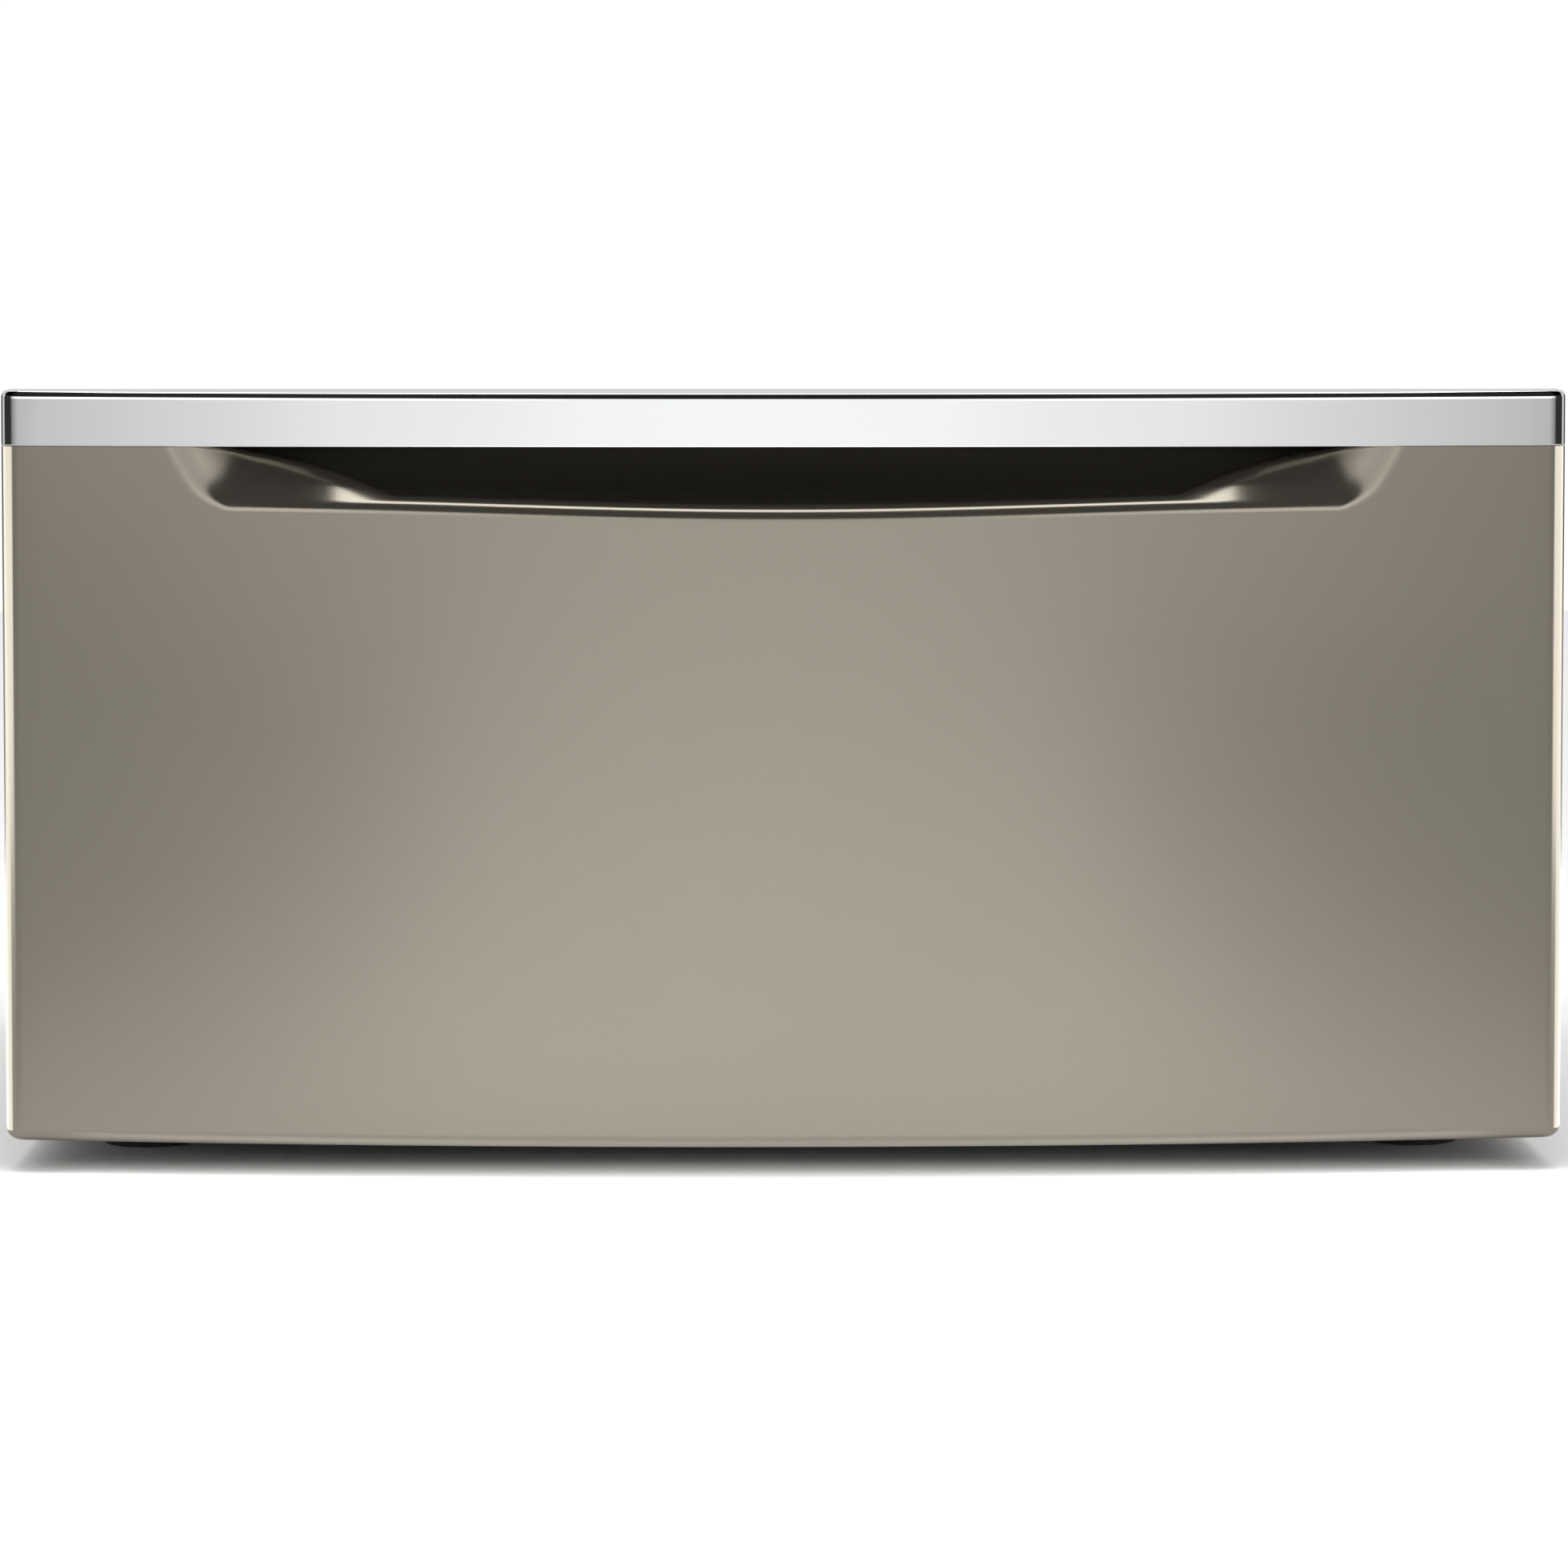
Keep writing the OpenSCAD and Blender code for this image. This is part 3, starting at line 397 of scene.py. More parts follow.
class Build:
    """Collects the vertices and faces of one piece made of many turned forms."""

    def __init__(self):
        self.verts, self.faces = [], []

    def turn(self, at, axis, rings, steps, radius=None):
        """A closed turned form. Each ring is (radius, height); radius(r, height, angle) may shape it."""
        u, v, w = frame_of(axis)
        base = len(self.verts)
        for r, h in rings:
            for k in range(steps):
                a = 2 * math.pi * k / steps
                rr, hh = radius(r, h, a) if radius else (r, h)
                self.verts.append(Vector(at) + u * (rr * math.cos(a)) + v * (rr * math.sin(a)) + w * hh)
        for i in range(len(rings) - 1):
            for k in range(steps):
                m = (k + 1) % steps
                a, b = base + i * steps, base + (i + 1) * steps
                self.faces.append((a + k, a + m, b + m, b + k))
        return base

    def solid(self, at, axis, rings, steps, radius=None):
        """A turned form whose first and last rings are filled."""
        base = self.turn(at, axis, rings, steps, radius)
        last = base + (len(rings) - 1) * steps
        self.faces.append([base + k for k in reversed(range(steps))])
        self.faces.append([last + k for k in range(steps)])

    def bored(self, at, axis, rings, steps, radius=None):
        """A turned form whose last ring is joined to its first, which leaves a bore."""
        b = self.turn(at, axis, rings, steps, radius)
        a = b + (len(rings) - 1) * steps
        for k in range(steps):
            m = (k + 1) % steps
            self.faces.append((a + k, a + m, b + m, b + k))

    def done(self, name, material, body, smooth_deg=32.0):
        return new_object(name, self.verts, self.faces, material, body, smooth_deg)


def hex_radius(corner, angle):
    """Distance from the middle to a hexagon's side at an angle."""
    turn = (angle % (math.pi / 3)) - math.pi / 6
    return corner * math.cos(math.pi / 6) / math.cos(turn)


def thread_rows(start, end, pitch, r, depth, per_turn=6):
    """Ring heights and the shaping function of a thread."""
    count = max(2, int(round((end - start) / pitch * per_turn)))
    rings = [(r, start + (end - start) * k / count) for k in range(count + 1)]

    def shape(rr, h, angle):
        phase = (h / pitch - angle / (2 * math.pi)) % 1.0
        cut = min(1.0, abs(2 * phase - 1) * 1.25)
        ease = min(1.0, (end - h) / (0.8 * pitch), (h - start) / (0.4 * pitch))
        tip = 1 - max(0.0, min(1.0, (end - h) / (0.6 * pitch)))
        return rr - depth * cut * max(ease, 0.0) - depth * 0.6 * tip, h

    return rings, shape


HEAD_STEPS, THREAD_STEPS, PAD_STEPS = 48, 20, 144           # sides of a turned form
STEM_STEPS, STEM_THREAD_STEPS = 60, 36
HEX_H = 3.5 * MM                 # wrench hexagon of a foot's stem
FLANGED_HEAD, PAN_HEAD = 2.5 * MM, 2.0 * MM                 # heights of the screws' heads


def screw_thread(build, seat, axis, shank):
    """The screw's thread, from its seat away from the head."""
    rows, cut = thread_rows(0.0, shank, 1.1 * MM, 2.0 * MM, 0.35 * MM)
    build.solid(seat, [-c for c in axis], rows, THREAD_STEPS, cut)


def flanged_hex_screw(build, seat, axis, shank):
    """Hexagon washer-head screw: the head stands along axis from the seat, the thread runs the other way."""
    flange, corner, top = 5.0 * MM, 4.0 * MM, FLANGED_HEAD
    rings = [(flange - 0.25 * MM, 0.0), (flange, 0.2 * MM), (flange, 0.5 * MM),
             (flange - 0.2 * MM, 0.72 * MM), (corner + 0.3 * MM, 0.98 * MM), (corner, 1.15 * MM),
             (corner, 1.5 * MM), (corner, 1.8 * MM), (corner, 2.05 * MM), (corner * 0.94, top - 0.18 * MM),
             (corner * 0.86, top), (corner * 0.70, top), (corner * 0.63, top - 0.12 * MM),
             (corner * 0.52, top - 0.55 * MM), (corner * 0.3, top - 0.62 * MM),
             (corner * 0.05, top - 0.64 * MM)]

    def shape(r, h, angle):
        if h < 0.9 * MM:
            return r, h
        side = hex_radius(corner, angle)
        if r > 0.93 * corner:
            chamfer = max(0.0, side - 0.9 * corner) * 0.5 if h > 1.7 * MM else 0.0
            return side * r / corner, h - chamfer
        return min(r, side * 0.96), h

    build.solid(seat, axis, rings, HEAD_STEPS, shape)
    screw_thread(build, seat, axis, shank)


def pan_screw(build, seat, axis, shank):
    """Low cross-recessed screw."""
    def shape(r, h, angle):
        if h < 1.0 * MM:
            return r, h
        x, y = r * math.cos(angle), r * math.sin(angle)
        arm = min(abs(x), abs(y))
        reach = max(abs(x), abs(y))
        deep = max(0.0, 1 - arm / (0.5 * MM)) * max(0.0, min(1.0, (2.2 * MM - reach) / (0.5 * MM)))
        return r, h - 1.1 * MM * min(1.0, deep * 1.6)

    rings = [(4.1 * MM, 0.0), (4.2 * MM, 0.15 * MM), (4.05 * MM, 0.6 * MM), (3.85 * MM, 0.99 * MM)]
    for k in range(1, 15):
        r = 3.8 * MM * (1 - k / 14.5)
        rings.append((r, 1.2 * MM + 0.8 * MM * math.sqrt(max(0.0, 1 - (r / (3.9 * MM)) ** 2))))
    build.solid(seat, axis, rings, HEAD_STEPS, shape)
    screw_thread(build, seat, axis, shank)


def make_screws(node, body, make, axis_of, material):
    """Stands a detailed screw in place of each one in a CAD node; axis_of says which way its head points."""
    build = Build()
    for middle, low, high in islands(node):
        axis = Vector(axis_of(middle))
        k = max(range(3), key=lambda i: abs(axis[i]))
        length = high[k] - low[k]
        head = FLANGED_HEAD if make is flanged_hex_screw else PAN_HEAD
        seat = middle + axis * (length / 2 - head)
        make(build, seat, axis, length - head)
    piece = build.done(node + "_detail", material, body, 28.0)
    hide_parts(node)


def make_nuts(node, corner, bore, material):
    """Chamfered hexagon nuts in place of those in a CAD node."""
    build = Build()
    for middle, low, high in islands(node):
        height = high.z - low.z
        rings = [(bore + 0.6 * MM, 0.0), (corner * 0.86, 0.0), (corner * 0.95, 0.35 * MM), (corner, 0.9 * MM),
                 (corner, height - 0.9 * MM), (corner * 0.95, height - 0.35 * MM), (corner * 0.86, height),
                 (bore + 0.6 * MM, height), (bore, height - 0.5 * MM), (bore, 0.5 * MM)]

        def shape(r, h, angle):
            return (hex_radius(corner, angle) * r / corner, h) if r > 0.9 * corner else (r, h)

        build.bored((middle.x, middle.y, low.z), (0, 0, 1), rings, HEAD_STEPS, shape)
    piece = build.done(node + "_detail", material, "cabinet", 28.0)
    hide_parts(node)


def make_foot(foot, zinc, rubber):
    """A threaded stem with its wrench hexagon, and the rubber pad that it stands in."""
    low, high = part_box(foot + "_pad")
    at = ((low.x + high.x) / 2, (low.y + high.y) / 2, low.z)
    pad_r, pad_h = (high.x - low.x) / 2, high.z - low.z
    rings = [(0.4 * MM, 0.9 * MM)]
    for k in range(3):
        r = (4 + 4.5 * k) * MM
        rings += [(r, 0.9 * MM), (r + 0.5 * MM, 0.0), (r + 2.2 * MM, 0.0), (r + 2.7 * MM, 0.9 * MM)]
    for inset, h in ((3.2, 0.9), (2.7, 0.0), (0.8, 0.0), (0.2, 0.3), (0, 0.9), (0, 1.6), (0.5, 1.9),
                     (0.5, 2.3), (0, 2.6), (0, 3.6), (0.4, 4.1), (2.0, 5.7)):
        rings.append((pad_r - inset * MM, h * MM))
    rings += [(pad_r - 3.6 * MM, pad_h - 0.15 * MM), (pad_r - 4.4 * MM, pad_h), (9.4 * MM, pad_h),
              (8.8 * MM, pad_h - 0.3 * MM), (8.1 * MM, pad_h - 0.4 * MM), (8.1 * MM, 5.5 * MM),
              (12.05 * MM, 5.5 * MM), (12.05 * MM, 3.0 * MM), (0.4 * MM, 3.0 * MM)]

    def flutes(r, h, angle):
        if r > pad_r - 1.5 * MM and 1.0 * MM < h < 5.0 * MM:
            r -= 0.35 * MM * max(0.0, math.cos(24 * angle)) ** 3
        return r, h

    build = Build()
    build.solid(at, (0, 0, 1), rings, PAD_STEPS, flutes)
    pad = build.done(foot + "_pad_detail", rubber, foot, 40.0)
    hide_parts(foot + "_pad")

    low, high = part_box(foot + "_stem")
    build = Build()
    corner, hex_low, hex_high = 9.8 * MM, pad_h, pad_h + HEX_H
    rings = [(11.7 * MM, 3.0 * MM), (12.0 * MM, 3.3 * MM), (12.0 * MM, 5.1 * MM), (11.7 * MM, 5.4 * MM),
             (8.0 * MM, 5.4 * MM), (8.0 * MM, hex_low), (corner * 0.88, hex_low),
             (corner * 0.95, hex_low + 0.3 * MM), (corner, hex_low + 0.9 * MM), (corner, hex_high - 0.9 * MM),
             (corner * 0.95, hex_high - 0.3 * MM), (corner * 0.88, hex_high), (5.4 * MM, hex_high),
             (4.95 * MM, hex_high + 0.4 * MM)]

    def hexed(r, h, angle):
        return (min(hex_radius(corner, angle), r) if r > corner * 0.9 and h >= hex_low else r, h)

    build.solid((at[0], at[1], 0), (0, 0, 1), rings, STEM_STEPS, hexed)
    rows, cut = thread_rows(hex_high + 0.2 * MM, high.z, 1.5 * MM, 4.95 * MM, 0.85 * MM)
    build.solid((at[0], at[1], 0), (0, 0, 1), rows, STEM_THREAD_STEPS, cut)
    stem = build.done(foot + "_stem_detail", zinc, foot, 30.0)
    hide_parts(foot + "_stem")


def make_mat(material):
    """Ribbed rubber mat with a plain border."""
    low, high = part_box("drawer_mat")
    border, pitch, base_h = 9 * MM, 7 * MM, 0.9 * MM
    ribs = int((high.x - low.x - 2 * border) / pitch)
    start = (low.x + high.x) / 2 - ribs * pitch / 2
    profile = [(0.0, 0.0), (0.22, 0.0), (0.3, 0.55), (0.4, 0.92), (0.5, 1.0), (0.6, 0.92), (0.7, 0.55),
               (0.78, 0.0)]
    xs = [(low.x, -0.6), (low.x + 0.3 * MM, 0.7), (low.x + 0.9 * MM, 1.0), (start - 1.2 * MM, 1.0),
          (start - 0.6 * MM, 0.0)]
    for i in range(ribs):
        xs += [(start + (i + f) * pitch, h) for f, h in profile]
    end = start + ribs * pitch
    xs += [(end, 0.0), (end + 0.6 * MM, 0.0), (end + 1.2 * MM, 1.0), (high.x - 0.9 * MM, 1.0),
           (high.x - 0.3 * MM, 0.7), (high.x, -0.6)]
    inner = len(xs) - 6
    ys = [(low.y, -0.6), (low.y + 0.3 * MM, 0.7), (low.y + 0.9 * MM, 1.0), (low.y + border - 1.2 * MM, 1.0),
          (low.y + border - 0.6 * MM, None), (high.y - border + 0.6 * MM, None),
          (high.y - border + 1.2 * MM, 1.0), (high.y - 0.9 * MM, 1.0), (high.y - 0.3 * MM, 0.7),
          (high.y, -0.6)]
    z0, rise = low.z + base_h, high.z - low.z - base_h
    verts = []
    for i, (x, hx) in enumerate(xs):
        for y, hy in ys:
            level = hx if hy is None else (min(hx, hy) if i < 4 or i >= inner + 2 else hy)
            verts.append((x, y, z0 + rise * level))
    rows = len(ys)
    faces = grid_faces(rows, len(xs))
    edge = [i * rows for i in range(len(xs))] + [(len(xs) - 1) * rows + k for k in range(1, rows)]
    edge += [i * rows + rows - 1 for i in reversed(range(len(xs) - 1))]
    edge += [k for k in reversed(range(1, rows - 1))]
    base = len(verts)
    for i in edge:
        verts.append((verts[i][0], verts[i][1], low.z))
    for k in range(len(edge)):
        m = (k + 1) % len(edge)
        faces.append((edge[k], edge[m], base + m, base + k))
    faces.append([base + k for k in range(len(edge))])
    mat = new_object("drawer_mat_ribbed", verts, faces, material, "drawer", 50.0)
    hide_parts("drawer_mat")


def arc(cx, cy, r, start, end, steps):
    """Points of an arc, its angles in degrees."""
    return [(cx + r * math.cos(math.radians(start + (end - start) * k / steps)),
             cy + r * math.sin(math.radians(start + (end - start) * k / steps))) for k in range(steps + 1)]


def make_divider(material):
    """Moulded divider: a thin web under a rounded top rail."""
    low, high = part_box("divider_panel")
    mid = (low.y + high.y) / 2
    web, half, rail = 1.2 * MM, (high.y - low.y) / 2, 3.0 * MM
    top, r, fillet = high.z, 1.4 * MM, 1.0 * MM
    right = [(web - 0.5 * MM, low.z), (web, low.z + 0.5 * MM)]
    right += arc(web + fillet, top - rail - fillet, fillet, 180, 90, 5)
    right += arc(half - r, top - rail + r, r, -90, 0, 6) + arc(half - r, top - r, r, 0, 90, 6)
    outline = right + [(-y, z) for y, z in reversed(right)]
    xs = [low.x, low.x + 0.3 * MM, low.x + 0.9 * MM, high.x - 0.9 * MM, high.x - 0.3 * MM, high.x]
    inset = [0.7, 0.2, 0.0, 0.0, 0.2, 0.7]
    verts = []
    for x, tight in zip(xs, inset):
        for y, z in outline:
            pull = tight * MM
            yy = math.copysign(max(abs(y) - pull, 0.2 * MM), y)
            verts.append((x, mid + yy, min(max(z, low.z + pull), top - pull)))
    count = len(outline)
    faces = []
    for i in range(len(xs) - 1):
        for k in range(count):
            m = (k + 1) % count
            faces.append((i * count + k, (i + 1) * count + k, (i + 1) * count + m, i * count + m))
    faces.append(list(range(count)))
    faces.append([(len(xs) - 1) * count + k for k in reversed(range(count))])
    piece = new_object("divider_moulded", verts, faces, material, "divider", 40.0)
    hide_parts("divider_panel")


# ---------------------------------------------------------------- materials

def tinted(tint, level):
    """A colour made lighter or darker."""
    return tuple(c * level for c in tint[:3]) + (1,)


class Nodes:
    """Short calls for building a node tree."""

    def __init__(self, tree):
        self.tree = tree
        tree.nodes.clear()

    def add(self, kind, **settings):
        node = self.tree.nodes.new(kind)
        for key, value in settings.items():
            setattr(node, key, value)
        return node

    def link(self, a, b):
        self.tree.links.new(a, b)

    def value(self, socket, thing):
        if isinstance(thing, bpy.types.NodeSocket):
            self.link(thing, socket)
        else:
            socket.default_value = thing

    def math(self, operation, a, b=None, clamp=False):
        node = self.add("ShaderNodeMath", operation=operation, use_clamp=clamp)
        self.value(node.inputs[0], a)
        if b is not None:
            self.value(node.inputs[1], b)
        return node.outputs[0]

    def ramp(self, factor, stops, interpolation="LINEAR"):
        node = self.add("ShaderNodeValToRGB")
        node.color_ramp.interpolation = interpolation
        elements = node.color_ramp.elements
        while len(elements) < len(stops):
            elements.new(1.0)
        for element, (position, level) in zip(elements, sorted(stops)):
            element.position = position
            element.color = level if isinstance(level, tuple) else (level, level, level, 1.0)
        self.value(node.inputs[0], factor)
        return node.outputs[0]

    def map(self, value, low, high, to_low=0.0, to_high=1.0):
        node = self.add("ShaderNodeMapRange", clamp=True)
        self.value(node.inputs[0], value)
        for socket, v in zip(node.inputs[1:5], (low, high, to_low, to_high)):
            socket.default_value = v
        return node.outputs[0]

    def mix(self, factor, a, b, blend="MIX"):
        node = self.add("ShaderNodeMix", data_type="RGBA", blend_type=blend)
        self.value(node.inputs[0], factor)
        self.value(node.inputs[6], a)
        self.value(node.inputs[7], b)
        return node.outputs[2]

    def place(self, scale=(1, 1, 1)):
        """The object's own coordinates, stretched."""
        coord = self.add("ShaderNodeTexCoord")
        mapping = self.add("ShaderNodeMapping")
        mapping.inputs["Scale"].default_value = scale
        self.link(coord.outputs["Object"], mapping.inputs["Vector"])
        return mapping.outputs["Vector"]

    def noise(self, vector, scale, detail=4.0, roughness=0.5):
        node = self.add("ShaderNodeTexNoise")
        self.link(vector, node.inputs["Vector"])
        node.inputs["Scale"].default_value = scale
        node.inputs["Detail"].default_value = detail
        node.inputs["Roughness"].default_value = roughness
        return node.outputs["Fac"]

    def bump(self, height, strength, distance, normal=None):
        node = self.add("ShaderNodeBump")
        node.inputs["Strength"].default_value = strength
        node.inputs["Distance"].default_value = distance
        self.link(height, node.inputs["Height"])
        if normal is not None:
            self.link(normal, node.inputs["Normal"])
        return node.outputs["Normal"]


def principled(name):
    """A new material, its Nodes and its shader."""
    material = bpy.data.materials.new(name)
    material.use_nodes = True
    n = Nodes(material.node_tree)
    shader = n.add("ShaderNodeBsdfPrincipled")
    output = n.add("ShaderNodeOutputMaterial")
    n.link(shader.outputs["BSDF"], output.inputs["Surface"])
    return material, n, shader


def champagne_paint(name, tint, roughness):
    """Metallic lacquer: fine flakes under a clear coat."""
    material, n, shader = principled(name)
    where = n.place()
    cloud = n.noise(where, 9.0, 3.0)
    flake = n.noise(where, 2600.0, 2.0)
    tone = n.mix(n.map(flake, 0.3, 0.7), tinted(tint, 0.93), tinted(tint, 1.07))
    tone = n.mix(n.map(cloud, 0.3, 0.7, 0.0, 0.5), tone, tinted(tint, 0.97))
    n.link(tone, shader.inputs["Base Color"])
    shader.inputs["Metallic"].default_value = 0.93
    n.link(n.map(cloud, 0.3, 0.7, roughness * 0.92, roughness * 1.08), shader.inputs["Roughness"])
    grain = n.bump(flake, 0.05, 0.00005)
    n.link(grain, shader.inputs["Normal"])
    shader.inputs["Coat Weight"].default_value = 0.12
    shader.inputs["Coat Roughness"].default_value = 0.03
    return material


def dark_primer_painted_shade(name):
    """The unseen side of the drawer front and the pocket's roof behind the trim: dull dark primer, near black
    as painted shade that keeps the pocket dark.
    """
    material, n, shader = principled(name)
    where = n.place()
    cloud = n.noise(where, 60.0, 4.0)
    n.link(n.mix(cloud, (0.018, 0.017, 0.016, 1), (0.032, 0.030, 0.028, 1)), shader.inputs["Base Color"])
    n.link(n.map(cloud, 0.3, 0.7, 0.55, 0.7), shader.inputs["Roughness"])
    n.link(n.bump(n.noise(where, 900.0, 3.0), 0.3, 0.0001), shader.inputs["Normal"])
    return material


def satin_zinc_painted_shade(name):
    """The dull plated inside of the trim, made near black as painted shade so the pocket under it stays dark.
    """
    material, n, shader = principled(name)
    where = n.place()
    cloud = n.noise(where, 40.0, 4.0)
    n.link(n.mix(cloud, (0.055, 0.053, 0.050, 1), (0.075, 0.072, 0.068, 1)), shader.inputs["Base Color"])
    shader.inputs["Metallic"].default_value = 0.3
    n.link(n.map(cloud, 0.3, 0.7, 0.45, 0.6), shader.inputs["Roughness"])
    return material


def chrome(name):
    """Bright chrome plating with the faintest polishing haze."""
    material, n, shader = principled(name)
    where = n.place()
    haze = n.noise(where, 14.0, 3.0)
    n.link(n.mix(haze, (0.90, 0.91, 0.92, 1), (0.93, 0.94, 0.95, 1)), shader.inputs["Base Color"])
    shader.inputs["Metallic"].default_value = 1.0
    n.link(n.map(haze, 0.3, 0.7, 0.035, 0.06), shader.inputs["Roughness"])
    return material


def cabinet_paint(name, tint):
    """Satin champagne paint on sheet steel: fine orange peel, a little dust low down."""
    material, n, shader = principled(name)
    where = n.place()
    cloud = n.noise(where, 6.0, 4.0)
    peel = n.noise(where, 700.0, 3.0)
    flake = n.noise(where, 2400.0, 1.0)
    dark = tinted(tint, 0.93)
    tone = n.mix(n.map(flake, 0.35, 0.65), dark, tinted(tint, 1.07))
    tone = n.mix(n.map(cloud, 0.35, 0.7, 0.0, 0.4), tone, dark)
    split = n.add("ShaderNodeSeparateXYZ")
    n.link(where, split.inputs[0])
    patches = n.map(n.noise(where, 60.0, 5.0), 0.35, 0.7, 0.05, 0.45)
    dust = n.math("MULTIPLY", n.map(split.outputs[2], 0.06, 0.0), patches)
    n.link(n.mix(dust, tone, (0.36, 0.35, 0.33, 1)), shader.inputs["Base Color"])
    shader.inputs["Metallic"].default_value = 0.7
    n.link(n.map(cloud, 0.3, 0.7, 0.30, 0.38), shader.inputs["Roughness"])
    n.link(n.bump(peel, 0.10, 0.0002), shader.inputs["Normal"])
    shader.inputs["Coat Weight"].default_value = 0.2
    shader.inputs["Coat Roughness"].default_value = 0.12
    return material


def galvanised(name):
    """Hot-dip galvanised sheet: crystal spangle, water marks and rolling streaks."""
    material, n, shader = principled(name)
    where = n.place()
    cells = n.add("ShaderNodeTexVoronoi")
    bend = n.add("ShaderNodeVectorMath", operation="ADD")
    wobble = n.add("ShaderNodeTexNoise")
    n.link(where, wobble.inputs["Vector"])
    wobble.inputs["Scale"].default_value = 90.0
    scale = n.add("ShaderNodeVectorMath", operation="SCALE")
    n.link(wobble.outputs["Color"], scale.inputs[0])
    scale.inputs["Scale"].default_value = 0.006
    n.link(where, bend.inputs[0])
    n.link(scale.outputs[0], bend.inputs[1])
    n.link(bend.outputs[0], cells.inputs["Vector"])
    cells.inputs["Scale"].default_value = 110.0
    spangle = n.add("ShaderNodeSeparateColor")
    n.link(cells.outputs["Color"], spangle.inputs[0])
    cloud = n.noise(where, 12.0, 5.0)
    grain = n.noise(n.place((1, 1, 14)), 220.0, 3.0)
    tone = n.mix(spangle.outputs[0], (0.42, 0.432, 0.445, 1), (0.60, 0.612, 0.625, 1))
    tone = n.mix(n.map(cloud, 0.45, 0.75, 0.0, 0.45), tone, (0.37, 0.378, 0.382, 1))
    n.link(tone, shader.inputs["Base Color"])
    shader.inputs["Metallic"].default_value = 0.9
    crystal = n.map(spangle.outputs[1], 0.0, 1.0, 0.30, 0.46)
    rough = n.math("ADD", crystal, n.map(grain, 0.3, 0.7, -0.03, 0.05))
    n.link(rough, shader.inputs["Roughness"])
    n.link(n.bump(grain, 0.12, 0.0002), shader.inputs["Normal"])
    return material


def plated(name, low, high, roughness, streak=(1, 1, 1), tint=None):
    """Plated or rolled steel with fine drawn lines, faint stains and handling marks."""
    material, n, shader = principled(name)
    where = n.place()
    lines = n.noise(n.place(streak), 900.0, 3.0)
    stain = n.noise(where, 45.0, 5.0, 0.6)
    fine = n.noise(where, 400.0, 4.0)
    tone = n.mix(n.map(lines, 0.3, 0.7), low, high)
    if tint:
        tone = n.mix(n.map(stain, 0.5, 0.75, 0.0, 0.5), tone, tint)
    n.link(tone, shader.inputs["Base Color"])
    shader.inputs["Metallic"].default_value = 1.0
    worn = n.map(stain, 0.3, 0.7, roughness * 0.85, roughness * 1.2)
    rough = n.math("ADD", worn, n.map(fine, 0.3, 0.7, -0.02, 0.03))
    n.link(rough, shader.inputs["Roughness"])
    n.link(n.bump(lines, 0.15, 0.00008), shader.inputs["Normal"])
    return material


def powder_coat(name):
    """Light grey powder coat with its orange peel."""
    material, n, shader = principled(name)
    where = n.place()
    peel = n.noise(where, 420.0, 2.0)
    fine = n.noise(where, 1500.0, 2.0)
    cloud = n.noise(where, 5.0, 4.0)
    tone = n.mix(n.map(fine, 0.3, 0.7), (0.45, 0.45, 0.44, 1), (0.52, 0.52, 0.51, 1))
    tone = n.mix(n.map(cloud, 0.45, 0.7, 0.0, 0.3), tone, (0.42, 0.415, 0.40, 1))
    n.link(tone, shader.inputs["Base Color"])
    n.link(n.map(cloud, 0.3, 0.7, 0.36, 0.44), shader.inputs["Roughness"])
    n.link(n.bump(peel, 0.30, 0.0003), shader.inputs["Normal"])
    return material


def polymer(name, low, high, rough_low, rough_high, grain, bump):
    """Moulded plastic or rubber with a fine grain and dusty patches."""
    material, n, shader = principled(name)
    where = n.place()
    texture = n.noise(where, grain, 3.0)
    cloud = n.noise(where, 30.0, 5.0, 0.6)
    tone = n.mix(n.map(texture, 0.3, 0.7), low, high)
    tone = n.mix(n.map(cloud, 0.5, 0.8, 0.0, 0.25), tone, (0.16, 0.155, 0.15, 1))
    n.link(tone, shader.inputs["Base Color"])
    n.link(n.map(cloud, 0.3, 0.7, rough_low, rough_high), shader.inputs["Roughness"])
    n.link(n.bump(texture, bump, 0.0002), shader.inputs["Normal"])
    return material


def shading_group():
    """Geometry nodes that smooth a form and keep its edges above 35 degrees crisp."""
    group = bpy.data.node_groups.new("shade_by_angle", "GeometryNodeTree")
    group.interface.new_socket("Geometry", in_out="INPUT", socket_type="NodeSocketGeometry")
    group.interface.new_socket("Geometry", in_out="OUTPUT", socket_type="NodeSocketGeometry")
    new, link = group.nodes.new, group.links.new
    start, end = new("NodeGroupInput"), new("NodeGroupOutput")
    smooth, sharp = new("GeometryNodeSetShadeSmooth"), new("GeometryNodeSetShadeSmooth")
    sharp.domain = "EDGE"
    sharp.inputs["Shade Smooth"].default_value = False
    angle, above = new("GeometryNodeInputMeshEdgeAngle"), new("ShaderNodeMath")
    above.operation = "GREATER_THAN"
    above.inputs[1].default_value = math.radians(35)
    link(start.outputs[0], smooth.inputs["Geometry"])
    link(smooth.outputs["Geometry"], sharp.inputs["Geometry"])
    link(angle.outputs["Unsigned Angle"], above.inputs[0])
    link(above.outputs[0], sharp.inputs["Selection"])
    link(sharp.outputs["Geometry"], end.inputs[0])
    return group


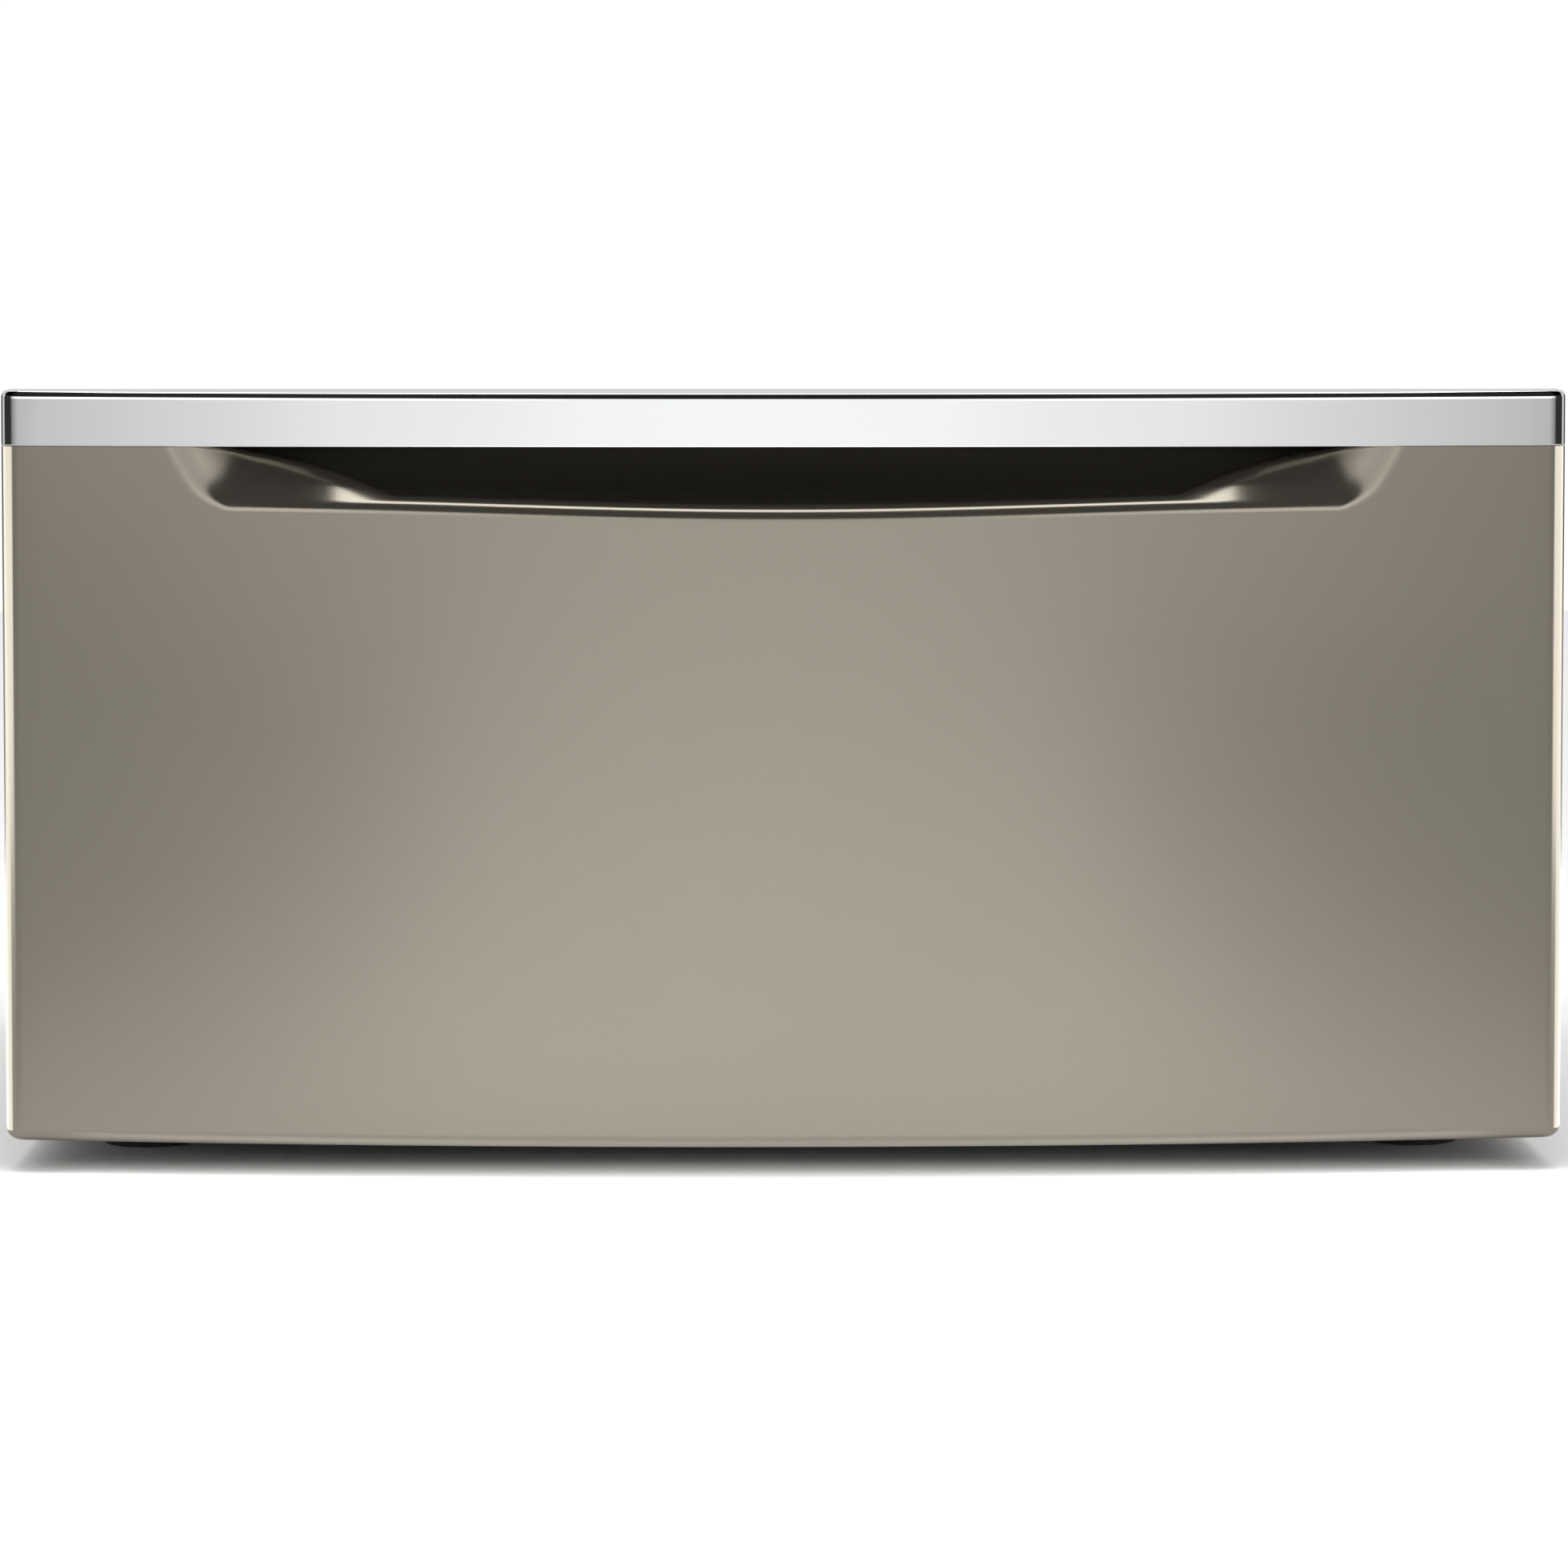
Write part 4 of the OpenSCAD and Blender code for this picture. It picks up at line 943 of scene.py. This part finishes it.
def finish_node(node, material, bevel, segments, group):
    """Gives a CAD node its material and breaks its sharp edges."""
    obj = frame["nodes"][node]
    for material_slot in obj.material_slots:
        material_slot.material = material
    weld = obj.modifiers.new("weld", "WELD")
    weld.merge_threshold = 2e-6
    if bevel:
        flat = obj.modifiers.new("flat", "DECIMATE")
        flat.decimate_type = "DISSOLVE"
        flat.angle_limit = math.radians(0.5)
        edge = obj.modifiers.new("edge", "BEVEL")
        edge.width = bevel
        edge.segments = segments
        edge.limit_method = "ANGLE"
        edge.angle_limit = math.radians(40)
        edge.use_clamp_overlap = True
        edge.miter_outer = "MITER_ARC"
        edge.harden_normals = False
    smooth = obj.modifiers.new("shade", "NODES")
    smooth.node_group = group
    if bevel:
        even = obj.modifiers.new("even", "WEIGHTED_NORMAL")
        even.mode = "FACE_AREA"
        even.weight = 80
        even.keep_sharp = True


# ---------------------------------------------------------------- stage

CAMERA_AT = (-0.0432, -3.335, 0.3885)
CAMERA_YAW = 0.811
CAMERA_PITCH = 4.101
CAMERA_LENS = 158.95
WHITE = 1.06                     # level of the studio for matt surfaces and low in the backdrop
FLOOR_HALF = 5.0
# the bounce lights under the front: from y, to y, level
UNDER_FRONT = ((-0.335, -0.318, 1.0), (-0.318, -0.300, 0.42), (-0.300, -0.275, 0.16))


def make_camera():
    """The camera that took the photograph, as far as the picture tells."""
    data = bpy.data.cameras.new("camera")
    data.sensor_width = 36.0
    data.lens = CAMERA_LENS
    data.clip_start = 0.01
    data.clip_end = 200.0
    camera = bpy.data.objects.new("camera", data)
    camera.location = CAMERA_AT
    camera.rotation_euler = (math.radians(90 - CAMERA_PITCH), 0.0, math.radians(-CAMERA_YAW))
    scene.collection.objects.link(camera)
    scene.camera = camera


def degrees(*stops):
    """Ramp stops given in degrees, of the 180 that a ramp spans."""
    return [(angle / 180, level) for angle, level in stops]


def make_world():
    """A studio by direction: a soft front wall that dims to both sides, a dark gap above, white behind.

    The front wall is brighter just above the horizon at both sides. Matt surfaces see an even white, and the
    camera a pale backdrop.
    """
    world = bpy.data.worlds.new("studio")
    scene.world = world
    world.use_nodes = True
    n = Nodes(world.node_tree)
    coord = n.add("ShaderNodeTexCoord")
    split = n.add("ShaderNodeSeparateXYZ")
    n.link(coord.outputs["Generated"], split.inputs[0])
    x, y, z = split.outputs
    azimuth = n.math("ABSOLUTE", n.math("ARCTAN2", x, n.math("MULTIPLY", y, -1.0)))
    azimuth = n.math("DIVIDE", azimuth, math.pi)
    height = n.math("DIVIDE", n.math("ARCSINE", z), math.pi)
    height = n.math("ADD", height, 0.5)
    around = n.ramp(azimuth, degrees((0, 1.0), (6, 0.98), (10, 0.90), (15, 0.85), (20, 0.71), (25, 0.60),
                                     (28, 0.52), (45, 0.38), (60, 0.22), (67, 0.03), (111, 0.03), (116, 0.8),
                                     (132, 0.8), (137, 0.03), (158, 0.03), (168, 1.0), (180, 1.0)))
    up_front = n.ramp(height, degrees((0, 1.0), (108, 1.0), (112, 0.015), (180, 0.015)), "EASE")
    up_back = n.ramp(height, degrees((0, 0.68), (140, 0.66), (180, 0.4)))
    behind = n.map(azimuth, 112 / 180, 128 / 180)
    level = n.mix(behind, up_front, up_back)
    overhead = n.math("MULTIPLY", n.map(height, 96 / 180, 102 / 180), behind)
    around = n.mix(overhead, around, (1, 1, 1, 1))
    sides = n.ramp(azimuth, degrees((0, 0), (6, 0), (14, 0.7), (24, 1.6), (60, 1.6), (80, 0), (180, 0)))
    lift = n.math("MULTIPLY", n.map(height, 91 / 180, 95 / 180), sides)
    around = n.mix(1.0, around, n.math("ADD", lift, 1.0), "MULTIPLY")
    light = n.mix(1.0, around, level, "MULTIPLY")
    backdrop = n.map(height, 90 / 180, 130 / 180, WHITE, 0.86)
    path = n.add("ShaderNodeLightPath")
    light = n.mix(path.outputs["Is Diffuse Ray"], light, (WHITE, WHITE, WHITE, 1))
    light = n.mix(path.outputs["Is Camera Ray"], light, backdrop)
    background = n.add("ShaderNodeBackground")
    n.link(light, background.inputs["Color"])
    background.inputs["Strength"].default_value = 1.0
    output = n.add("ShaderNodeOutputWorld")
    n.link(background.outputs[0], output.inputs[0])


def area_light(name, at, look, size, level, glossy=True):
    """A rectangular light that looks at a point. A level of 1 is the white of the picture."""
    data = bpy.data.lights.new(name, "AREA")
    data.shape = "RECTANGLE"
    data.size, data.size_y = size
    data.energy = level * math.pi * size[0] * size[1]
    light = bpy.data.objects.new(name, data)
    light.location = at
    light.rotation_euler = (Vector(look) - Vector(at)).to_track_quat("-Z", "Y").to_euler()
    light.visible_glossy = glossy
    light.visible_camera = False
    scene.collection.objects.link(light)
    return light


def make_studio_lights():
    """Soft light from above, a strip for the floor ahead, and bounce light that rides under the front."""
    area_light("overhead", (0, -0.42, 1.85), (0, -0.42, 0), (1.6, 0.95), 3.0)
    area_light("floor_strip", (0, -2.6, 1.1), (0, -2.6, 0), (0.5, 5.0), 2.0, glossy=False)
    for number, (y_near, y_far, level) in enumerate(UNDER_FRONT):
        middle, size = (y_near + y_far) / 2, (0.64, y_far - y_near)
        at, look = (0, middle, 0.0125), (0, middle, 0)
        bounce = area_light("under_panel_%d" % number, at, look, size, level, glossy=False)
        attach(bounce, "drawer")


def make_side_lights():
    """A soft panel on each side and a low one beside it, for the bright edges of the painted front."""
    lights = []
    for side, name in ((-1, "left"), (1, "right")):
        at, low = (2.0 * side, -0.05, 0.6), (1.19 * side, 0.40, 0.004)
        lights.append(area_light("side_panel_" + name, at, (0, -0.05, 0.3), (2.3, 1.4), 2.7))
        lights.append(area_light("side_floor_" + name, low, (low[0], low[1], 1), (1.62, 1.4), 2.2))
    return lights


def light_only(front, lights):
    """These lights reach no other piece than the front."""
    front_only = bpy.data.collections.new("front_only")
    front_only.objects.link(front)
    for light in lights:
        light.light_linking.receiver_collection = front_only


def make_floor():
    """A plain white floor; glossy rays see it a little darker and darker still to both sides, painted shade
    for the studio light falling off.
    """
    material, n, shader = principled("floor_white")
    where = n.place()
    cloud = n.mix(n.noise(where, 3.0, 2.0), (0.86, 0.86, 0.86, 1), (0.88, 0.88, 0.88, 1))
    split = n.add("ShaderNodeSeparateXYZ")
    n.link(where, split.inputs[0])
    reach = n.math("MULTIPLY", split.outputs[1], 0.15)
    side_shade_mask = n.map(n.math("ADD", n.math("ABSOLUTE", split.outputs[0]), reach), 0.10, 0.56)
    # Painted shade: in reflections the floor goes from 0.80 in the middle down to 0.42 at the sides.
    reflected_painted_shade = n.mix(side_shade_mask, (0.80, 0.80, 0.80, 1), (0.42, 0.42, 0.42, 1))
    path = n.add("ShaderNodeLightPath")
    n.link(n.mix(path.outputs["Is Glossy Ray"], cloud, reflected_painted_shade), shader.inputs["Base Color"])
    shader.inputs["Roughness"].default_value = 0.9
    shader.inputs["Specular IOR Level"].default_value = 0.1
    half = FLOOR_HALF
    verts = [(-half, -half, 0), (half, -half, 0), (half, half, 0), (-half, half, 0)]
    floor = new_object("floor", verts, [(0, 1, 2, 3)], material, None)


# ---------------------------------------------------------------- build

make_camera()
make_world()
make_studio_lights()
make_floor()
side_lights = make_side_lights()

PAINT = champagne_paint("front_paint", (0.307, 0.279, 0.230, 1), 0.18)
CHROME = chrome("chrome_trim")
# Near-black primer: painted shade for the pocket's roof and the back of the front's skin.
PRIMER_PAINTED_SHADE = dark_primer_painted_shade("dark_primer_painted_shade")
light_only(make_front_panel(PAINT, PRIMER_PAINTED_SHADE), side_lights)
# The trim's inner faces take near-black zinc: painted shade over the pocket.
make_chrome_handle(CHROME, satin_zinc_painted_shade("trim_inside"))

ZINC = plated("zinc_hardware", (0.60, 0.60, 0.57, 1), (0.76, 0.76, 0.73, 1), 0.27,
              tint=(0.62, 0.58, 0.45, 1))
RUBBER = polymer("black_rubber", (0.022, 0.022, 0.022, 1), (0.036, 0.036, 0.036, 1), 0.62, 0.8, 700.0, 0.3)
SLOTS = {
    "cabinet_paint": (cabinet_paint("cabinet_paint", (0.318, 0.292, 0.243)), 0.45 * MM, 3),
    "galvanised": (galvanised("galvanised"), 0.35 * MM, 2),
    "zinc_hardware": (ZINC, 0.2 * MM, 2),
    "slide_steel": (plated("slide_steel", (0.52, 0.54, 0.56, 1), (0.70, 0.72, 0.74, 1), 0.24, (1, 0.03, 1),
                           (0.47, 0.46, 0.42, 1)), 0.3 * MM, 3),
    "cage_steel": (plated("cage_steel", (0.36, 0.35, 0.31, 1), (0.50, 0.49, 0.44, 1), 0.4, (1, 0.1, 1),
                          (0.30, 0.27, 0.21, 1)), 0.12 * MM, 2),
    "ball_steel": (plated("ball_steel", (0.70, 0.71, 0.73, 1), (0.78, 0.79, 0.81, 1), 0.12,
                          tint=(0.45, 0.40, 0.30, 1)), 0, 0),
    "drawer_paint": (powder_coat("drawer_paint"), 0.45 * MM, 3),
    "mat_rubber": (polymer("mat_rubber", (0.026, 0.026, 0.028, 1), (0.042, 0.042, 0.045, 1), 0.55, 0.72,
                           900.0, 0.35), 0, 0),
    "divider_plastic": (polymer("divider_plastic", (0.24, 0.25, 0.26, 1), (0.29, 0.30, 0.31, 1), 0.42, 0.52,
                                1300.0, 0.3), 0, 0),
    "black_plastic": (polymer("black_plastic", (0.024, 0.024, 0.026, 1), (0.034, 0.034, 0.036, 1), 0.36, 0.46,
                              1500.0, 0.2), 0.4 * MM, 3),
    "black_rubber": (RUBBER, 0.4 * MM, 3),
}
GROUP = shading_group()
for part in frame["record"]["subparts"]:
    if part["node"] not in ("drawer_front_panel", "chrome_handle"):
        finish_node(part["node"], *SLOTS[part["material_slot"]], GROUP)

for foot_name in ("left_front_foot", "right_front_foot", "left_rear_foot", "right_rear_foot"):
    make_foot(foot_name, ZINC, RUBBER)
make_nuts("foot_weld_nuts", 9.8 * MM, 5.0 * MM, ZINC)
make_nuts("foot_lock_nuts", 9.8 * MM, 5.0 * MM, ZINC)
make_screws("front_screws", "drawer", flanged_hex_screw, lambda at: (0, 1, 0), ZINC)
make_screws("handle_screws", "drawer", flanged_hex_screw, lambda at: (0, 1, 0), ZINC)
make_screws("rear_screws", "cabinet", flanged_hex_screw, lambda at: (0, 1, 0), ZINC)
make_screws("slide_inner_screws", "drawer", pan_screw, lambda at: (1 if at[0] < 0 else -1, 0, 0), ZINC)
make_screws("slide_outer_screws", "cabinet", pan_screw, lambda at: (-1 if at[0] < 0 else 1, 0, 0), ZINC)
make_mat(SLOTS["mat_rubber"][0])
make_divider(SLOTS["divider_plastic"][0])

scene.view_settings.view_transform = "Standard"
